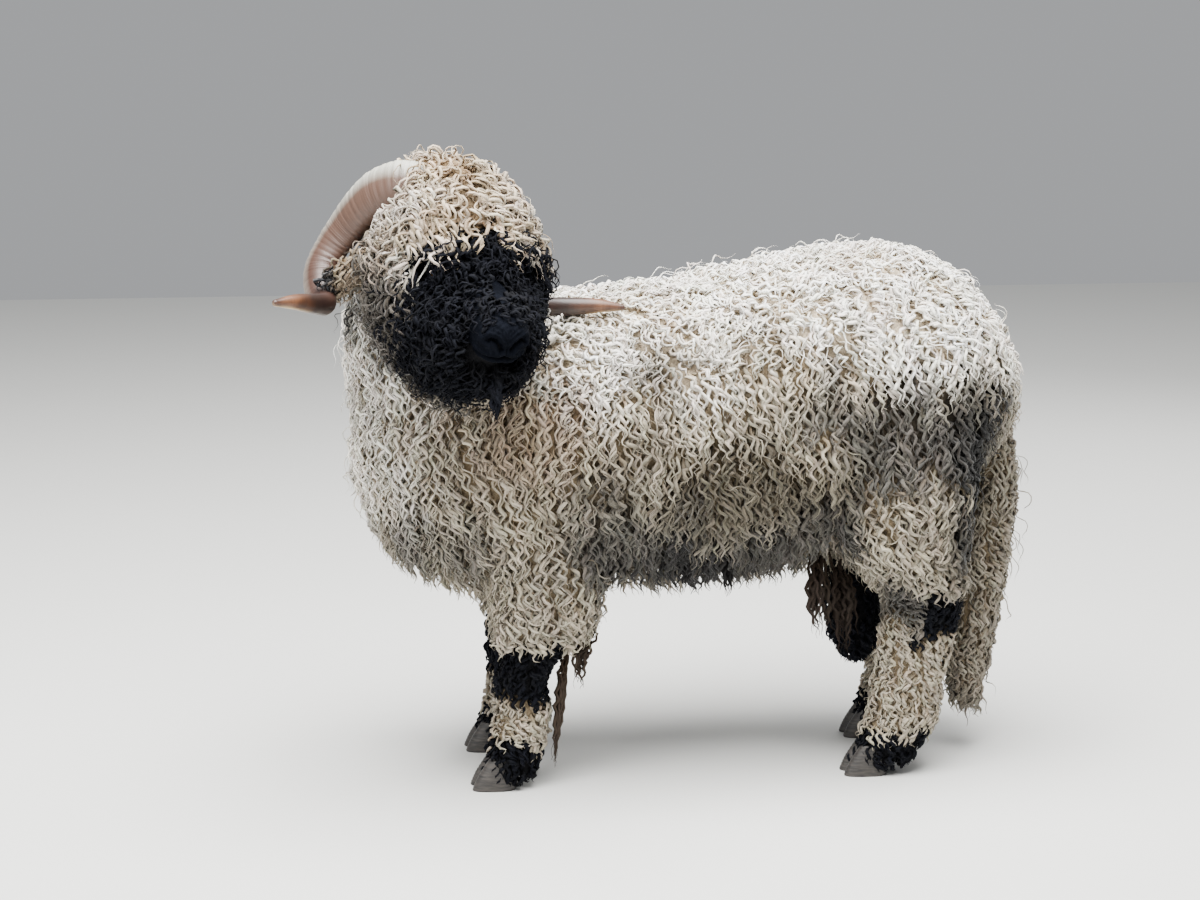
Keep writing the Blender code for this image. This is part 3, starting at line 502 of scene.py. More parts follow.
# Stains and painted shade: the middle, the reach along X, Y and Z, the colour and the strength.
STAINS_AND_SHADE = (
    ((-0.480, 0.00, 0.570), (0.120, 0.30, 0.170), CREAM * 0.92, 0.75),
    ((-0.036, -0.14, 0.670), (0.045, 0.10, 0.045), GREY_DIRT_AND_SHADE, 0.70),
    ((0.004, -0.11, 0.755), (0.080, 0.10, 0.035), TAN, 0.50),
    ((0.272, -0.08, 0.810), (0.060, 0.10, 0.035), TAN, 0.45),
    # Painted shade, with some dirt, along the lower flank.
    ((0.130, -0.14, 0.495), (0.310, 0.12, 0.090), SHADED * 0.85, 1.00),
    # Painted shadow of the head on the shoulder, in the tan of the dirt there.
    ((-0.230, -0.13, 0.590), (0.120, 0.10, 0.090), TAN * 0.62, 0.60),
    ((0.285, -0.14, 0.605), (0.110, 0.12, 0.060), GREY_DIRT_AND_SHADE, 0.90),
    ((0.390, -0.13, 0.560), (0.135, 0.14, 0.090), GREY_DIRT_AND_SHADE * 0.8, 1.00),
    ((0.350, -0.13, 0.440), (0.080, 0.10, 0.045), FLANK * 1.25, 0.70),
    # Painted shade, near black, in the hollow between the tail and the thigh.
    ((0.468, -0.09, 0.475), (0.064, 0.16, 0.170), DARK_DIRT_AND_SHADE * 0.5, 1.00),
    ((0.372, -0.10, 0.296), (0.062, 0.09, 0.055), GREY_DIRT_AND_SHADE * 0.7, 1.00),
    # Under the belly and brisket: dirt, and painted shade where the underside gets little light.
    ((-0.043, -0.08, 0.405), (0.100, 0.20, 0.075), GREY_DIRT_AND_SHADE, 1.00),
    ((0.080, -0.05, 0.375), (0.190, 0.25, 0.078), DARK_DIRT_AND_SHADE, 1.00),
    ((0.198, -0.10, 0.410), (0.120, 0.20, 0.080), GREY_DIRT_AND_SHADE * 0.6, 1.00),
    ((-0.112, -0.13, 0.430), (0.070, 0.12, 0.085), GREY_DIRT_AND_SHADE, 0.90),
    ((-0.340, 0.02, 0.415), (0.110, 0.20, 0.065), GREY_DIRT_AND_SHADE, 0.80),
    ((-0.445, -0.13, 0.775), (0.085, 0.15, 0.080), DARK_DIRT_AND_SHADE * 1.6, 1.00),
    ((-0.450, -0.12, 0.850), (0.070, 0.10, 0.050), TAN * 0.6, 0.75),
    ((0.330, 0.28, 0.540), (0.140, 0.14, 0.130), GREY_DIRT_AND_SHADE, 0.75),
    # Painted shade along the lower far flank.
    ((0.060, 0.28, 0.460), (0.300, 0.10, 0.080), SHADED, 0.75),
)
HEAD_NAMES = ("hood", "face", "skull")
print(len(STAINS_AND_SHADE), "stains")


# %% Where a point lies on the animal
def mottle(points, size, seed):
    """Soft patches from -1 to 1: the sum of six sine waves in chance directions, about a size apart."""
    chance = np.random.default_rng(seed)
    waves = unit(chance.normal(size=(6, 3))) * chance.uniform(0.6, 1.5, (6, 1)) * 2 * np.pi / size
    return np.sin(points @ waves.T + chance.uniform(0, 6.28, 6)).sum(-1) / 3.2


def mixed(colour, other, share):
    return colour * (1 - share[:, None]) + np.asarray(other) * share[:, None]


def regions(points):
    """For each point the name of the form that it lies deepest in."""
    depths = np.stack([form.place(points)[2] for form in forms.values()])
    return np.array(list(forms))[np.argmin(depths, axis=0)]


def face_disc(points):
    """Below 1 inside the face's black oval: (left / 0.116)^2.5 + (up / 0.101)^2.5 from its middle."""
    left, _, lift = head_coordinates(points)
    return (np.abs(left - 0.010) / 0.116) ** 2.5 + (np.abs(lift + 0.021) / 0.101) ** 2.5


def blackness(points, names):
    """1 where the wool is black: the face's oval, the ears, the scrotum and bands on the legs."""
    left, ahead, _ = head_coordinates(points)
    edge = 0.010 * mottle(points, 0.05, 3)
    in_oval = (face_disc(points) < 1.0) * np.isin(names, HEAD_NAMES)
    face = soft_step(0.084, 0.092, ahead + edge * 0.5) * in_oval
    dark = np.maximum(face, np.char.startswith(names, "ear") * soft_step(0.145, 0.155, np.abs(left)))
    dark = np.maximum(dark, names == "scrotum")
    height = points[:, 2] + edge * 0.6
    for leg_kind, bands in (("fore", FORE_BLACK), ("hind", HIND_BLACK)):
        on_leg = np.char.startswith(names, leg_kind)
        for low, high in bands:
            dark = np.maximum(dark, on_leg * (height > low) * (height < high))
    # The front of each hock is only grey: the black patch is behind it.
    hock_front = (names == "hind_left") | (names == "hind_right")
    hock_front &= (points[:, 2] > 0.20) & (points[:, 0] < 0.385 + 0.01 * mottle(points, 0.04, 5))
    return np.where(hock_front, 0.0, dark)


# %% The colour of the coat
def head_tints(colour, points, names):
    """Light brown curls on the poll, pale tan ones on the brow, smoky ones beside the oval."""
    left, _, lift = head_coordinates(points)
    on_head = np.isin(names, HEAD_NAMES)
    poll = on_head * (0.68 + 0.30 * mottle(points, 0.06, 6))
    colour = mixed(colour, POLL, np.clip(poll, 0, 1))
    wavering = np.abs(left + 0.02 * mottle(points, 0.05, 7))
    brow = soft_step(0.085, 0.025, wavering) * soft_step(0.035, 0.060, lift)
    colour = mixed(colour, BROW, 0.6 * brow * (poll > 0))
    near_oval = soft_step(5.4, 1.0, face_disc(points))
    smoky = near_oval * soft_step(0.045, 0.0, lift) * soft_step(0.03, -0.04, left)
    return mixed(colour, SMOKE, 0.92 * smoky * (poll > 0))


def coat_colour(points, names):
    """
    The coat's colour at points of the body, with its painted shade, before the painted shade at the
    locks' roots.

    flank mixed with cream by height, darker low down for dirt and painted shade, then with each stain
    or patch of painted shade by strength * a soft step of the distance
    """
    height = points[:, 2] + 0.05 * mottle(points, 0.22, 1)
    # Darker lower down: partly dirt, partly painted shade, since the light falls from above.
    colour = mixed(FLANK * np.ones((len(points), 1)), CREAM, soft_step(0.61, 0.72, height))
    colour = mixed(colour, FLANK * 0.78, 0.6 * soft_step(0.46, 0.34, height))
    for middle, reach, tint, strength in STAINS_AND_SHADE:
        distance = np.linalg.norm((points - middle) / reach, axis=-1) + 0.35 * mottle(points, 0.07, 2)
        colour = mixed(colour, tint, strength * soft_step(1.3, 0.35, distance))
    colour = mixed(colour, FLANK * 0.55, 0.85 * (names == "tail"))
    colour = head_tints(colour, points, names)
    colour = mixed(colour, EAR_TINT, 0.85 * np.char.startswith(names, "ear"))
    return mixed(colour, BLACK, blackness(points, names))


# %% [markdown]
# Each lock needs a root. Roots drawn by pure chance leave bald spots and heaps, so many candidates
# are drawn all over the skin, in proportion to the area of its faces, and only the first one in each
# cell of a fine grid of cubes is kept. That spreads them evenly and still without a pattern.

# %% Roots
CANDIDATES = 300_000


def skin_candidates(count):
    """Chance points on the skin, a + r1 (b - a) + r2 (c - a) folded into the face, and the ways out."""
    mesh = skin.data
    mesh.calc_loop_triangles()
    corners = np.empty(len(mesh.loop_triangles) * 3, np.int32)
    mesh.loop_triangles.foreach_get("vertices", corners)
    corners = corners.reshape(-1, 3)
    places, outs = vertex_array(skin), vertex_array(skin, "normal")
    a, b, c = (places[corners[:, k]] for k in range(3))
    area = np.linalg.norm(np.cross(b - a, c - a), axis=-1)
    picked = draw.choice(len(corners), count, p=area / area.sum())
    r1, r2 = draw.random((2, count, 1))
    over = r1 + r2 > 1
    r1, r2 = np.where(over, 1 - r1, r1), np.where(over, 1 - r2, r2)
    points = a[picked] + r1 * (b - a)[picked] + r2 * (c - a)[picked]
    return points, unit(outs[corners[picked, 0]] + outs[corners[picked, 1]] + outs[corners[picked, 2]])


def thinned(points, cell):
    """The numbers of the points that come first in their own cube of a grid."""
    cubes = np.floor(points / cell).astype(int)
    return np.sort(np.unique(cubes, axis=0, return_index=True)[1])


candidates, candidate_outs = skin_candidates(CANDIDATES)
candidate_names = regions(candidates)
candidate_black = blackness(candidates, candidate_names) > 0.5
print("candidates:", {str(name): int((candidate_names == name).sum()) for name in forms})

# %% [markdown]
# The horns come before the wool, because no lock may grow through them. A ram's horn leaves the
# crown, curls back and down round the ear and turns forward again at the tip. It is a tube along a
# smooth curve, broader across the curl than through it, and it narrows to a point. A lock that would
# run through a horn, or across an eye's gaze, has its stations moved sideways until it is clear.

# %% The line of a horn
# The rows go outwards, forward and up in the head, then half the breadth and half the thickness.
HORN_PATH = (
    (0.026, 0.015, 0.086, 0.032, 0.022),
    (0.048, 0.004, 0.090, 0.034, 0.023),
    (0.072, -0.012, 0.082, 0.035, 0.023),
    (0.092, -0.034, 0.057, 0.035, 0.022),
    (0.105, -0.050, 0.024, 0.034, 0.021),
    (0.116, -0.060, -0.010, 0.032, 0.020),
    (0.132, -0.060, -0.042, 0.029, 0.019),
    (0.150, -0.044, -0.072, 0.026, 0.019),
    (0.160, -0.008, -0.092, 0.022, 0.018),
    (0.169, 0.034, -0.088, 0.018, 0.016),
    (0.202, 0.070, -0.069, 0.0150, 0.0140),
    (0.243, 0.094, -0.054, 0.0110, 0.0105),
    (0.280, 0.110, -0.048, 0.0045, 0.0042),
)
HORN_HEART = (0.10, 0.03, -0.03)


def horn_line(side, share):
    """Points of the horn's middle line and its half breadth and half thickness."""
    rows = smooth_curve(HORN_PATH, share)
    return in_head(side * rows[..., 0], rows[..., 1], rows[..., 2]), rows[..., 3], rows[..., 4]


def clear_of_horns(points, room):
    """True where points are farther than the horn's radius and some room from both middle lines."""
    clear = np.ones(points.shape[:-1], bool)
    for side in (1, -1):
        line, broad, thick = horn_line(side, np.linspace(0, 1, 40))
        for middle, radius in zip(line, (broad + thick) / 2):
            clear &= np.linalg.norm(points - middle, axis=-1) > radius + room
    return clear


# %% Clear of horns and eyes
STEPS = 5
HEAD_REACH = 0.32
GAZE_ROOM = 0.021


def off_horns(lines, room):
    """The lines, with stations nearer to a horn than the room moved out of it, and how far each moved."""
    near = np.nonzero(np.linalg.norm(lines[:, 0] - HEAD_ROOT, axis=-1) < HEAD_REACH)[0]
    stations = lines[near].reshape(-1, 3)
    bent = np.zeros(len(lines))
    for side in (1, -1):
        line, broad, thick = horn_line(side, np.linspace(0, 1, 60))
        offset = stations[:, None] - line
        distance = np.linalg.norm(offset, axis=-1)
        closest = np.argmin(distance - broad, axis=1)
        row = np.arange(len(stations))
        out = offset[row, closest] / np.maximum(distance[row, closest], 1e-6)[:, None]
        missing = np.maximum(broad[closest] * 0.92 + room - distance[row, closest], 0)
        stations = stations + out * missing[:, None]
        most = missing.reshape(len(near), STEPS + 1).max(1, initial=0.0)
        bent[near] = np.maximum(bent[near], most)
    lines[near] = stations.reshape(len(near), STEPS + 1, 3)
    return lines, bent


def off_eyes(lines):
    """Stations in front of an eye, and nearer to its gaze than GAZE_ROOM, are moved sideways to there."""
    for side in (1, -1):
        centre, gaze, _, _ = eye_frame(side)
        in_front, beside = from_gaze(lines, side)
        away = lines - centre - in_front[..., None] * gaze
        room = np.where((in_front > 0.004) & (in_front < 0.12), np.maximum(GAZE_ROOM - beside, 0), 0)
        lines = lines + away / np.maximum(beside, 1e-4)[..., None] * room[..., None]
    return lines


# %% [markdown]
# A lock starts out from the skin and then follows the lie of the coat: mostly down, because wool is
# heavy, and a little back. It is combed in a few steps. At each step the way never points into the
# body, the skin under the new place is found again, and the lock is lifted or drawn in to its own
# height over it. Below the belly nothing holds it in, so there it hangs free.

# %% Combing
FLOOR_ROOM = 0.006


def combed(roots, outs, heading, length, lift, weight, cling):
    """Lines of STEPS + 1 stations each: place += way * length / STEPS, kept at its height over the skin."""
    place = roots + outs * 0.001
    way = unit(heading + outs * 0.6)
    stations, normals = [place], [outs]
    for step in range(STEPS):
        share = (step + 1) / STEPS
        way = unit(way * 0.45 + unit(heading * (1 - weight) - UP * weight) * 0.55)
        way = unit(way - normals[-1] * np.minimum(dot(way, normals[-1]), 0))
        place = place + way * length[:, None] / STEPS
        foot, out = on_skin(place)
        height = dot(place - foot, out)
        wanted = lift[:, None] * math.sin(math.pi / 2 * min(1.0, share * 1.7))
        hangs = soft_step(0.15, -0.45, out[:, 2:3])
        drawn_in = np.maximum(height - wanted, 0) * cling * (1 - hangs)
        place = place + out * (np.maximum(wanted - height, 0) - drawn_in)
        place[:, 2] = np.maximum(place[:, 2], FLOOR_ROOM)
        stations.append(place)
        normals.append(out)
    return np.stack(stations, 1), np.stack(normals, 1)


# %% [markdown]
# Up close a lock is a thin bundle of fibres that winds like a corkscrew. Real fleece has far too
# many fibres to model, so one three-sided tube stands for each bundle and smooth shading rounds it.
# All the tubes of one part of the coat are computed together as one big array and become one mesh.

# %% Curled locks
def curled(lines, normals, radius, curl, turns, phase, rings, taper=0.16):
    """A flat tube round centre(t) + curl * (cos a * side + sin a * out), a = phase + turns * 2 pi t."""
    t = np.linspace(0, 1, rings)
    weights = smooth_curve(np.eye(STEPS + 1), t)
    centre = np.einsum("rk,nkc->nrc", weights, lines)
    out = unit(np.einsum("rk,nkc->nrc", weights, normals))
    along = unit(np.gradient(centre, axis=1))
    side = unit(np.cross(along, out))
    out = np.cross(side, along)
    angle = phase[:, None] + turns[:, None] * 2 * np.pi * t
    grown = curl[:, None] * soft_step(0.0, 0.22, t) * (1 - 0.35 * t)
    centre = centre + (np.cos(angle) * grown)[..., None] * side
    centre = centre + (np.sin(angle) * grown * 0.75)[..., None] * out
    along = unit(np.gradient(centre, axis=1))
    side = unit(np.cross(along, out))
    out = np.cross(side, along)
    swell = 0.62 + 0.38 * np.sin(np.pi * np.clip(t * 1.15, 0, 1))
    swell = swell * (1 - (1 - taper) * soft_step(0.62, 1.0, t))
    around = np.arange(3) * 2 * np.pi / 3
    reach = radius[:, None, None, None] * swell[None, :, None, None]
    rim = 1.2 * np.cos(around)[:, None] * side[:, :, None, :]
    rim = rim + 0.8 * np.sin(around)[:, None] * out[:, :, None, :]
    return centre[:, :, None, :] + reach * rim


# Painted shade at the locks' roots, where they shade one another, browner than grey so the gaps look warm.
ROOT_SHADE = np.array([0.52, 0.43, 0.32])


def put_tone(mesh, colours):
    """Keeps a colour for each point in the attribute that the materials read."""
    rgba = np.concatenate([colours, np.ones((len(colours), 1))], -1).astype(np.float32)
    mesh.attributes.new("tone", "FLOAT_COLOR", "POINT").data.foreach_set("color", rgba.ravel())


def lock_mesh(name, points, colours, roots_map):
    """One mesh of all tubes, with the colour of each lock, its length as a share, and its two UV maps."""
    count, rings, sides, _ = points.shape
    quads = grid_corners(rings, sides)
    first = np.arange(count)[:, None, None] * rings * sides
    faces = (quads[None] + first).reshape(-1, 4)
    points[..., 2] = np.maximum(points[..., 2], 0.002)
    made = make_mesh(name, points.reshape(-1, 3), faces)
    mesh = made.data
    t = np.linspace(0, 1, rings)
    # Painted shade: dark at the root, fading to the lock's own colour by its middle.
    shade = ROOT_SHADE + (1 - ROOT_SHADE) * soft_step(0.0, 0.55, t)[:, None]
    tint = colours[:, None, None, :] * shade[None, :, None, :] * np.ones((1, 1, sides, 1))
    put_tone(mesh, tint.reshape(-1, 3))
    loops = np.tile(quads.ravel(), count)
    ring, corner = loops // sides, loops % sides
    corner = np.where((corner == 0) & (np.tile([0, 1, 1, 0], len(loops) // 4) == 1), sides, corner)
    owner = np.repeat(np.arange(count), quads.size)
    strand = np.stack([corner / sides + owner * 0.37 % 1, ring / (rings - 1)], -1)
    patch = roots_map[owner] + PATCH * (np.stack([corner / sides, ring / (rings - 1)], -1) - 0.5)
    for map_name, values in (("OFBake", patch), ("strand", strand)):
        layer = mesh.uv_layers.new(name=map_name)
        layer.data.foreach_set("uv", values.astype(np.float32).ravel())
    return made


# %% [markdown]
# A baked copy of the model needs to know where on the skin each lock belongs. So every form gets a
# rectangle of one square chart, its share runs along the rectangle and its angle up it, and a lock
# is a tiny patch at its root's place. This unrolls the skin itself, and not a view of it.

# %% The skin unrolled
PATCH = 0.003
CHART_COLUMNS = 4


def unrolled(points, names):
    """share and angle of each point on its own form, scaled into that form's cell of the chart."""
    chart = np.zeros((len(points), 2))
    rows = math.ceil(len(forms) / CHART_COLUMNS)
    for number, (name, form) in enumerate(forms.items()):
        own = names == name
        share, angle, _ = form.place(points[own])
        cell = np.array([number % CHART_COLUMNS, number // CHART_COLUMNS])
        inside = np.stack([share, angle / (2 * np.pi) + 0.5], -1) * 0.94 + 0.03
        chart[own] = (cell + inside) / (CHART_COLUMNS, rows)
    return chart


# %% [markdown]
# Wool lies as gravity and growth leave it: down the sides, backwards and outwards over the back, forward
# over the brow and away from the nose. Soft patches of chance then turn whole groups of locks together.

# %% Which way the wool lies
def heading_of(names, roots, outs, swirl):
    """The lie of the coat: down and a little back, outwards over the back, forward over the brow."""
    heading = np.zeros_like(roots) - UP + FORWARD * -0.15
    over_back = soft_step(0.45, 0.95, outs[:, 2:3])
    sideways = np.clip((roots[:, 1:2] + MIDDLE[1]) / 0.14, -1, 1) * SIDE
    heading = heading * (1 - over_back) + (sideways * 0.55 - FORWARD * 0.55) * over_back
    left, ahead, lift = (value[:, None] for value in head_coordinates(roots))
    on_head = np.isin(names, ("hood",))[:, None]
    crown = unit(HEAD_LEFT * left + HEAD_UP * (lift - 0.05) * 0.2 + FACE * (ahead + 0.03) - HEAD_UP * 0.09)
    heading = np.where(on_head, crown, heading)
    on_face = np.isin(names, ("face", "skull"))[:, None]
    from_nose = unit(HEAD_LEFT * left + HEAD_UP * (lift + 0.02) * 0.8 - UP * 0.05)
    heading = np.where(on_face, from_nose * 0.7 - UP * 0.4, heading)
    flow = np.stack([mottle(roots, 0.11, seed) for seed in (21, 22, 23)], -1)
    chance = unit(draw.normal(size=roots.shape))
    heading = unit(heading) + (flow * 0.75 + chance * 0.65) * swirl
    return unit(heading - outs * dot(heading, outs))


# %% [markdown]
# Each part of the coat has its own recipe: how far apart the locks are, how long and thick they are,
# how high they lie, how tight the curl is, how wildly they turn and how much they hang. The fleece
# has long soft ringlets, the hood larger loose ones, and face and feet small tight ones.

# %% Recipes
Recipe = namedtuple("Recipe", "apart length radius lift curl period swirl weight rings")
RECIPES = {
    "back_fleece": Recipe(0.0128, 0.054, 0.0026, 0.022, 0.0064, 0.0250, 1.00, 0.10, 13),
    "flank_fleece": Recipe(0.0134, 0.064, 0.0027, 0.022, 0.0059, 0.0270, 0.50, 0.40, 13),
    "belly_fleece": Recipe(0.0172, 0.062, 0.0032, 0.020, 0.0046, 0.0280, 0.40, 0.65, 11),
    "poll_curls": Recipe(0.0107, 0.072, 0.0025, 0.024, 0.0086, 0.0285, 0.90, 0.20, 17),
    "hem_curls": Recipe(0.0155, 0.042, 0.0028, 0.018, 0.0060, 0.0220, 0.60, 0.50, 12),
    "leg_wool": Recipe(0.0106, 0.036, 0.0026, 0.012, 0.0048, 0.0185, 0.75, 0.28, 11),
    "black_leg_wool": Recipe(0.0104, 0.028, 0.0027, 0.010, 0.0040, 0.0170, 0.65, 0.35, 10),
    "face_curls": Recipe(0.0088, 0.048, 0.0026, 0.024, 0.0066, 0.0215, 0.85, 0.15, 14),
    "ear_wool": Recipe(0.0074, 0.042, 0.0026, 0.016, 0.0052, 0.0200, 0.70, 0.30, 12),
    "wisps": Recipe(0.0440, 0.066, 0.0011, 0.034, 0.0060, 0.0420, 1.20, 0.10, 12),
    "face_wisps": Recipe(0.0160, 0.058, 0.0014, 0.034, 0.0066, 0.0330, 1.10, 0.20, 13),
    "tail_wool": Recipe(0.0118, 0.048, 0.0028, 0.012, 0.0052, 0.0210, 0.55, 0.55, 12),
}
print(len(RECIPES), "recipes")

# %% [markdown]
# A candidate root belongs to a recipe by the form it lies in, by its blackness, by its height over
# the hem of the fleece and by the way out of the skin there. No lock grows on the bare tip of the
# muzzle or in front of an eye.

# %% Which roots belong to a recipe
FORE_HEM, HIND_HEM = 0.235, 0.320


def over_knee(points, names):
    """How far each point lies above the hem of the fleece on its leg, and 1 off the legs."""
    fore, hind = np.char.startswith(names, "fore_"), np.char.startswith(names, "hind_")
    return np.where(fore, points[:, 2] - FORE_HEM, np.where(hind, points[:, 2] - HIND_HEM, 1.0))


def chosen(recipe_name):
    """Which candidates belong to a recipe, by region, blackness and the way out."""
    names, outs, black = candidate_names, candidate_outs, candidate_black
    z = candidates[:, 2]
    on_trunk = np.isin(names, ("trunk", "neck"))
    on_leg = np.char.startswith(names, "fore_") | np.char.startswith(names, "hind_")
    above = over_knee(candidates, names)
    body = (on_trunk | (on_leg & (above > 0))) & ~black
    left, ahead, lift = head_coordinates(candidates)
    muzzle = (ahead > 0.248) & (np.abs(left) < 0.040) & (lift > -0.058) & (lift < 0.03)
    for side in (1, -1):
        in_front, beside = from_gaze(candidates, side)
        muzzle |= (in_front > 0) & (beside < 0.019)
    picks = {
        "back_fleece": body & (outs[:, 2] > 0.45),
        "flank_fleece": body & (outs[:, 2] <= 0.45) & (outs[:, 2] > -0.55),
        "belly_fleece": body & (outs[:, 2] <= -0.55),
        "poll_curls": np.isin(names, HEAD_NAMES) & ~black,
        "hem_curls": on_leg & ~black & (np.abs(above - 0.03) < 0.04),
        "leg_wool": on_leg & ~black & (above <= 0),
        "black_leg_wool": (on_leg & black & (z > 0.024)) | (names == "scrotum"),
        "face_curls": np.isin(names, HEAD_NAMES) & black & ~muzzle,
        "ear_wool": np.char.startswith(names, "ear"),
        "wisps": body | (np.isin(names, ("hood", "tail")) & ~black),
        "face_wisps": np.isin(names, ("hood", "face")) & black & ~muzzle,
        "tail_wool": names == "tail",
    }
    return np.nonzero(picks[recipe_name])[0]


# %% [markdown]
# Neighbouring locks cling together in staples, which is what gives this fleece its look. Here a
# staple is a cube of space: the locks rooted in it lean towards one another at their tips, and they
# share one hand, one winding and one shade, with some chance left to each.

# %% Staples
STAPLE = 0.034
MOST_TRIANGLES = 190_000
MOST_BENT = 0.016


def staples(roots):
    """The number of the staple, a cube of STAPLE wide, that each root belongs to."""
    return np.unique(np.floor(roots / STAPLE + 0.37).astype(int), axis=0, return_inverse=True)[1].ravel()


def gathered(lines, owner, pull):
    """place + (mean place in the staple - place) * pull * share^1.5, so tips draw together."""
    sums = np.zeros((owner.max() + 1, *lines.shape[1:]))
    np.add.at(sums, owner, lines)
    means = sums / np.bincount(owner)[:, None, None]
    share = pull * np.linspace(0, 1, STEPS + 1) ** 1.5
    return lines + (means[owner] - lines) * share[:, None]


def grow(name, recipe, lines, normals, roots, names, tones):
    """Curls the combed lines by a recipe and makes one mesh, or a few where it would be too large."""
    count = len(lines)
    owner = staples(roots)
    common = draw.uniform(size=(owner.max() + 1, 4))[owner]
    reach = np.linalg.norm(np.diff(lines, axis=1), axis=-1).sum(1)
    hand = np.where(common[:, 0] < 0.5, -1, 1)
    turns = reach / recipe.period * (0.78 + 0.45 * common[:, 1]) * draw.uniform(0.9, 1.1, count) * hand
    phase = common[:, 2] * 6.28 + draw.normal(size=count) * 0.9
    radius = recipe.radius * draw.uniform(0.65, 1.25, count)
    curl = recipe.curl * draw.uniform(0.6, 1.4, count)
    points = curled(lines, normals, radius, curl, turns, phase, recipe.rings)
    tones = tones * (0.84 + 0.26 * common[:, 3:])
    tones = tones * draw.uniform(0.82, 1.14, (count, 1)) * draw.uniform(0.97, 1.03, (count, 3))
    tones = np.minimum(tones, 0.95)
    chart = unrolled(roots, names)
    most = MOST_TRIANGLES // (6 * (recipe.rings - 1))
    for batch, start in enumerate(range(0, count, most)):
        part = slice(start, start + most)
        piece_name = name if count <= most else f"{name}_{batch + 1}"
        coat_pieces.append(lock_mesh(piece_name, points[part], tones[part], chart[part]))
    print(name, count, "locks,", count * 6 * (recipe.rings - 1), "triangles")


# %% [markdown]
# Now the coat grows, one recipe after the other: roots are picked and thinned out, lines are combed
# from them, gathered and bent clear of eyes and horns, and the curls are wound round the lines. A
# line that had to be bent too far is left out.

# %% The whole coat
coat_pieces = []
for recipe_name, recipe in RECIPES.items():
    picked = chosen(recipe_name)
    picked = picked[thinned(candidates[picked], recipe.apart)]
    picked = picked[clear_of_horns(candidates[picked], -0.002)]
    roots, outs, names = candidates[picked], candidate_outs[picked], candidate_names[picked]
    count = len(roots)
    length = recipe.length * draw.uniform(0.7, 1.25, count)
    # The fleece is shorter where it ends over the knees and hocks, so that they show.
    above = over_knee(roots, names)
    length *= 1 - 0.45 * soft_step(0.11, 0.0, above) * (above > 0)
    heading = heading_of(names, roots, outs, recipe.swirl)
    lift = recipe.lift * draw.uniform(0.30, 1.05, count)
    lines, normals = combed(roots, outs, heading, length, lift, recipe.weight, 0.8)
    lines = gathered(lines, staples(roots), 0.45)
    lines, bent = off_horns(off_eyes(lines), 0.005)
    keep = bent < MOST_BENT
    lines, normals, roots, names = lines[keep], normals[keep], roots[keep], names[keep]
    grow(recipe_name, recipe, lines, normals, roots, names, coat_colour(roots, names))

# %% [markdown]
# A few locks don't follow any rule: matted locks that trail behind the near knee, a pointed lock
# under the chin, one that hangs from the belly, clotted ones by the scrotum and the ragged end of
# the tail. Each is a small sheaf of strands between two points.

# %% Trailing locks
SHEAVES = (
    ("knee_lock", (-0.152, -0.043, 0.225), (-0.172, -0.043, 0.040), 0.0034, 14, MUD),
    ("knee_lock_short", (-0.120, -0.045, 0.250), (-0.134, -0.046, 0.170), 0.0070, 18, MUD),
    ("chin_lock", (-0.279, -0.272, 0.690), (-0.283, -0.292, 0.616), 0.0036, 16, BLACK),
    ("belly_lock", (0.095, -0.043, 0.365), (0.100, -0.043, 0.298), 0.0040, 10, DARK_DIRT_AND_SHADE * 0.7),
    ("belly_lock_rear", (0.030, -0.050, 0.365), (0.028, -0.050, 0.318), 0.0050, 10, DARK_DIRT_AND_SHADE),
    ("thigh_lock", (0.245, -0.030, 0.345), (0.250, -0.030, 0.240), 0.0080, 24, MUD * 0.5),
    ("thigh_lock_rear", (0.275, -0.030, 0.330), (0.290, -0.030, 0.215), 0.0080, 24, MUD * 0.4),
    ("tail_end", (0.520, 0.076, 0.125), (0.532, 0.078, 0.062), 0.0090, 24, FLANK * 0.55),
)


def sheaf(start, end, spread, count):
    """Lines from a start to an end: both are scattered by the spread, and the middle sags outwards."""
    start = np.asarray(start) + draw.normal(size=(count, 3)) * spread
    end = np.asarray(end) + draw.normal(size=(count, 3)) * spread * (0.8, 0.8, 1.6)
    share = np.linspace(0, 1, STEPS + 1)[None, :, None]
    bow = draw.normal(size=(count, 1, 3)) * spread * np.sin(np.pi * share)
    lines = start[:, None] * (1 - share) + end[:, None] * share + bow
    lines[..., 2] = np.maximum(lines[..., 2], 0.012)
    return lines, np.broadcast_to(unit(-SIDE + 0.3 * UP), lines.shape)


for name, start, end, spread, count, tint in SHEAVES:
    lines, normals = sheaf(start, end, spread, count)
    matted = Recipe(0, 0, 0.0028, 0, 0.0030, 0.022, 0, 0, 19)
    roots = lines[:, 0]
    grow(name, matted, lines, normals, roots, regions(roots), np.tile(tint, (count, 1)))

# %% [markdown]
# The skin itself shows only in the gaps between locks, as the felted wool underneath. It has the
# same markings as the coat, darker and browner: painted shade in the gaps between the locks.

# %% Colours on the skin
skin_places = vertex_array(skin)
# Painted shade: the skin is darker than the coat because it lies in the gaps between the locks.
skin_tone = coat_colour(skin_places, regions(skin_places)) * (0.60, 0.52, 0.42)
put_tone(skin.data, skin_tone)
print("the skin's middle colour:", skin_tone.mean(0).round(3))

# %% [markdown]
# The muzzle is the only part of the head that isn't hidden in curls, so it gets a fine grid of its
# own over the skull's form. Nostrils, mouth, the groove under the nose and the folds on the bridge
# are all the same idea: push the surface in or out along its normal by a bell curve of the distance
# to a line.

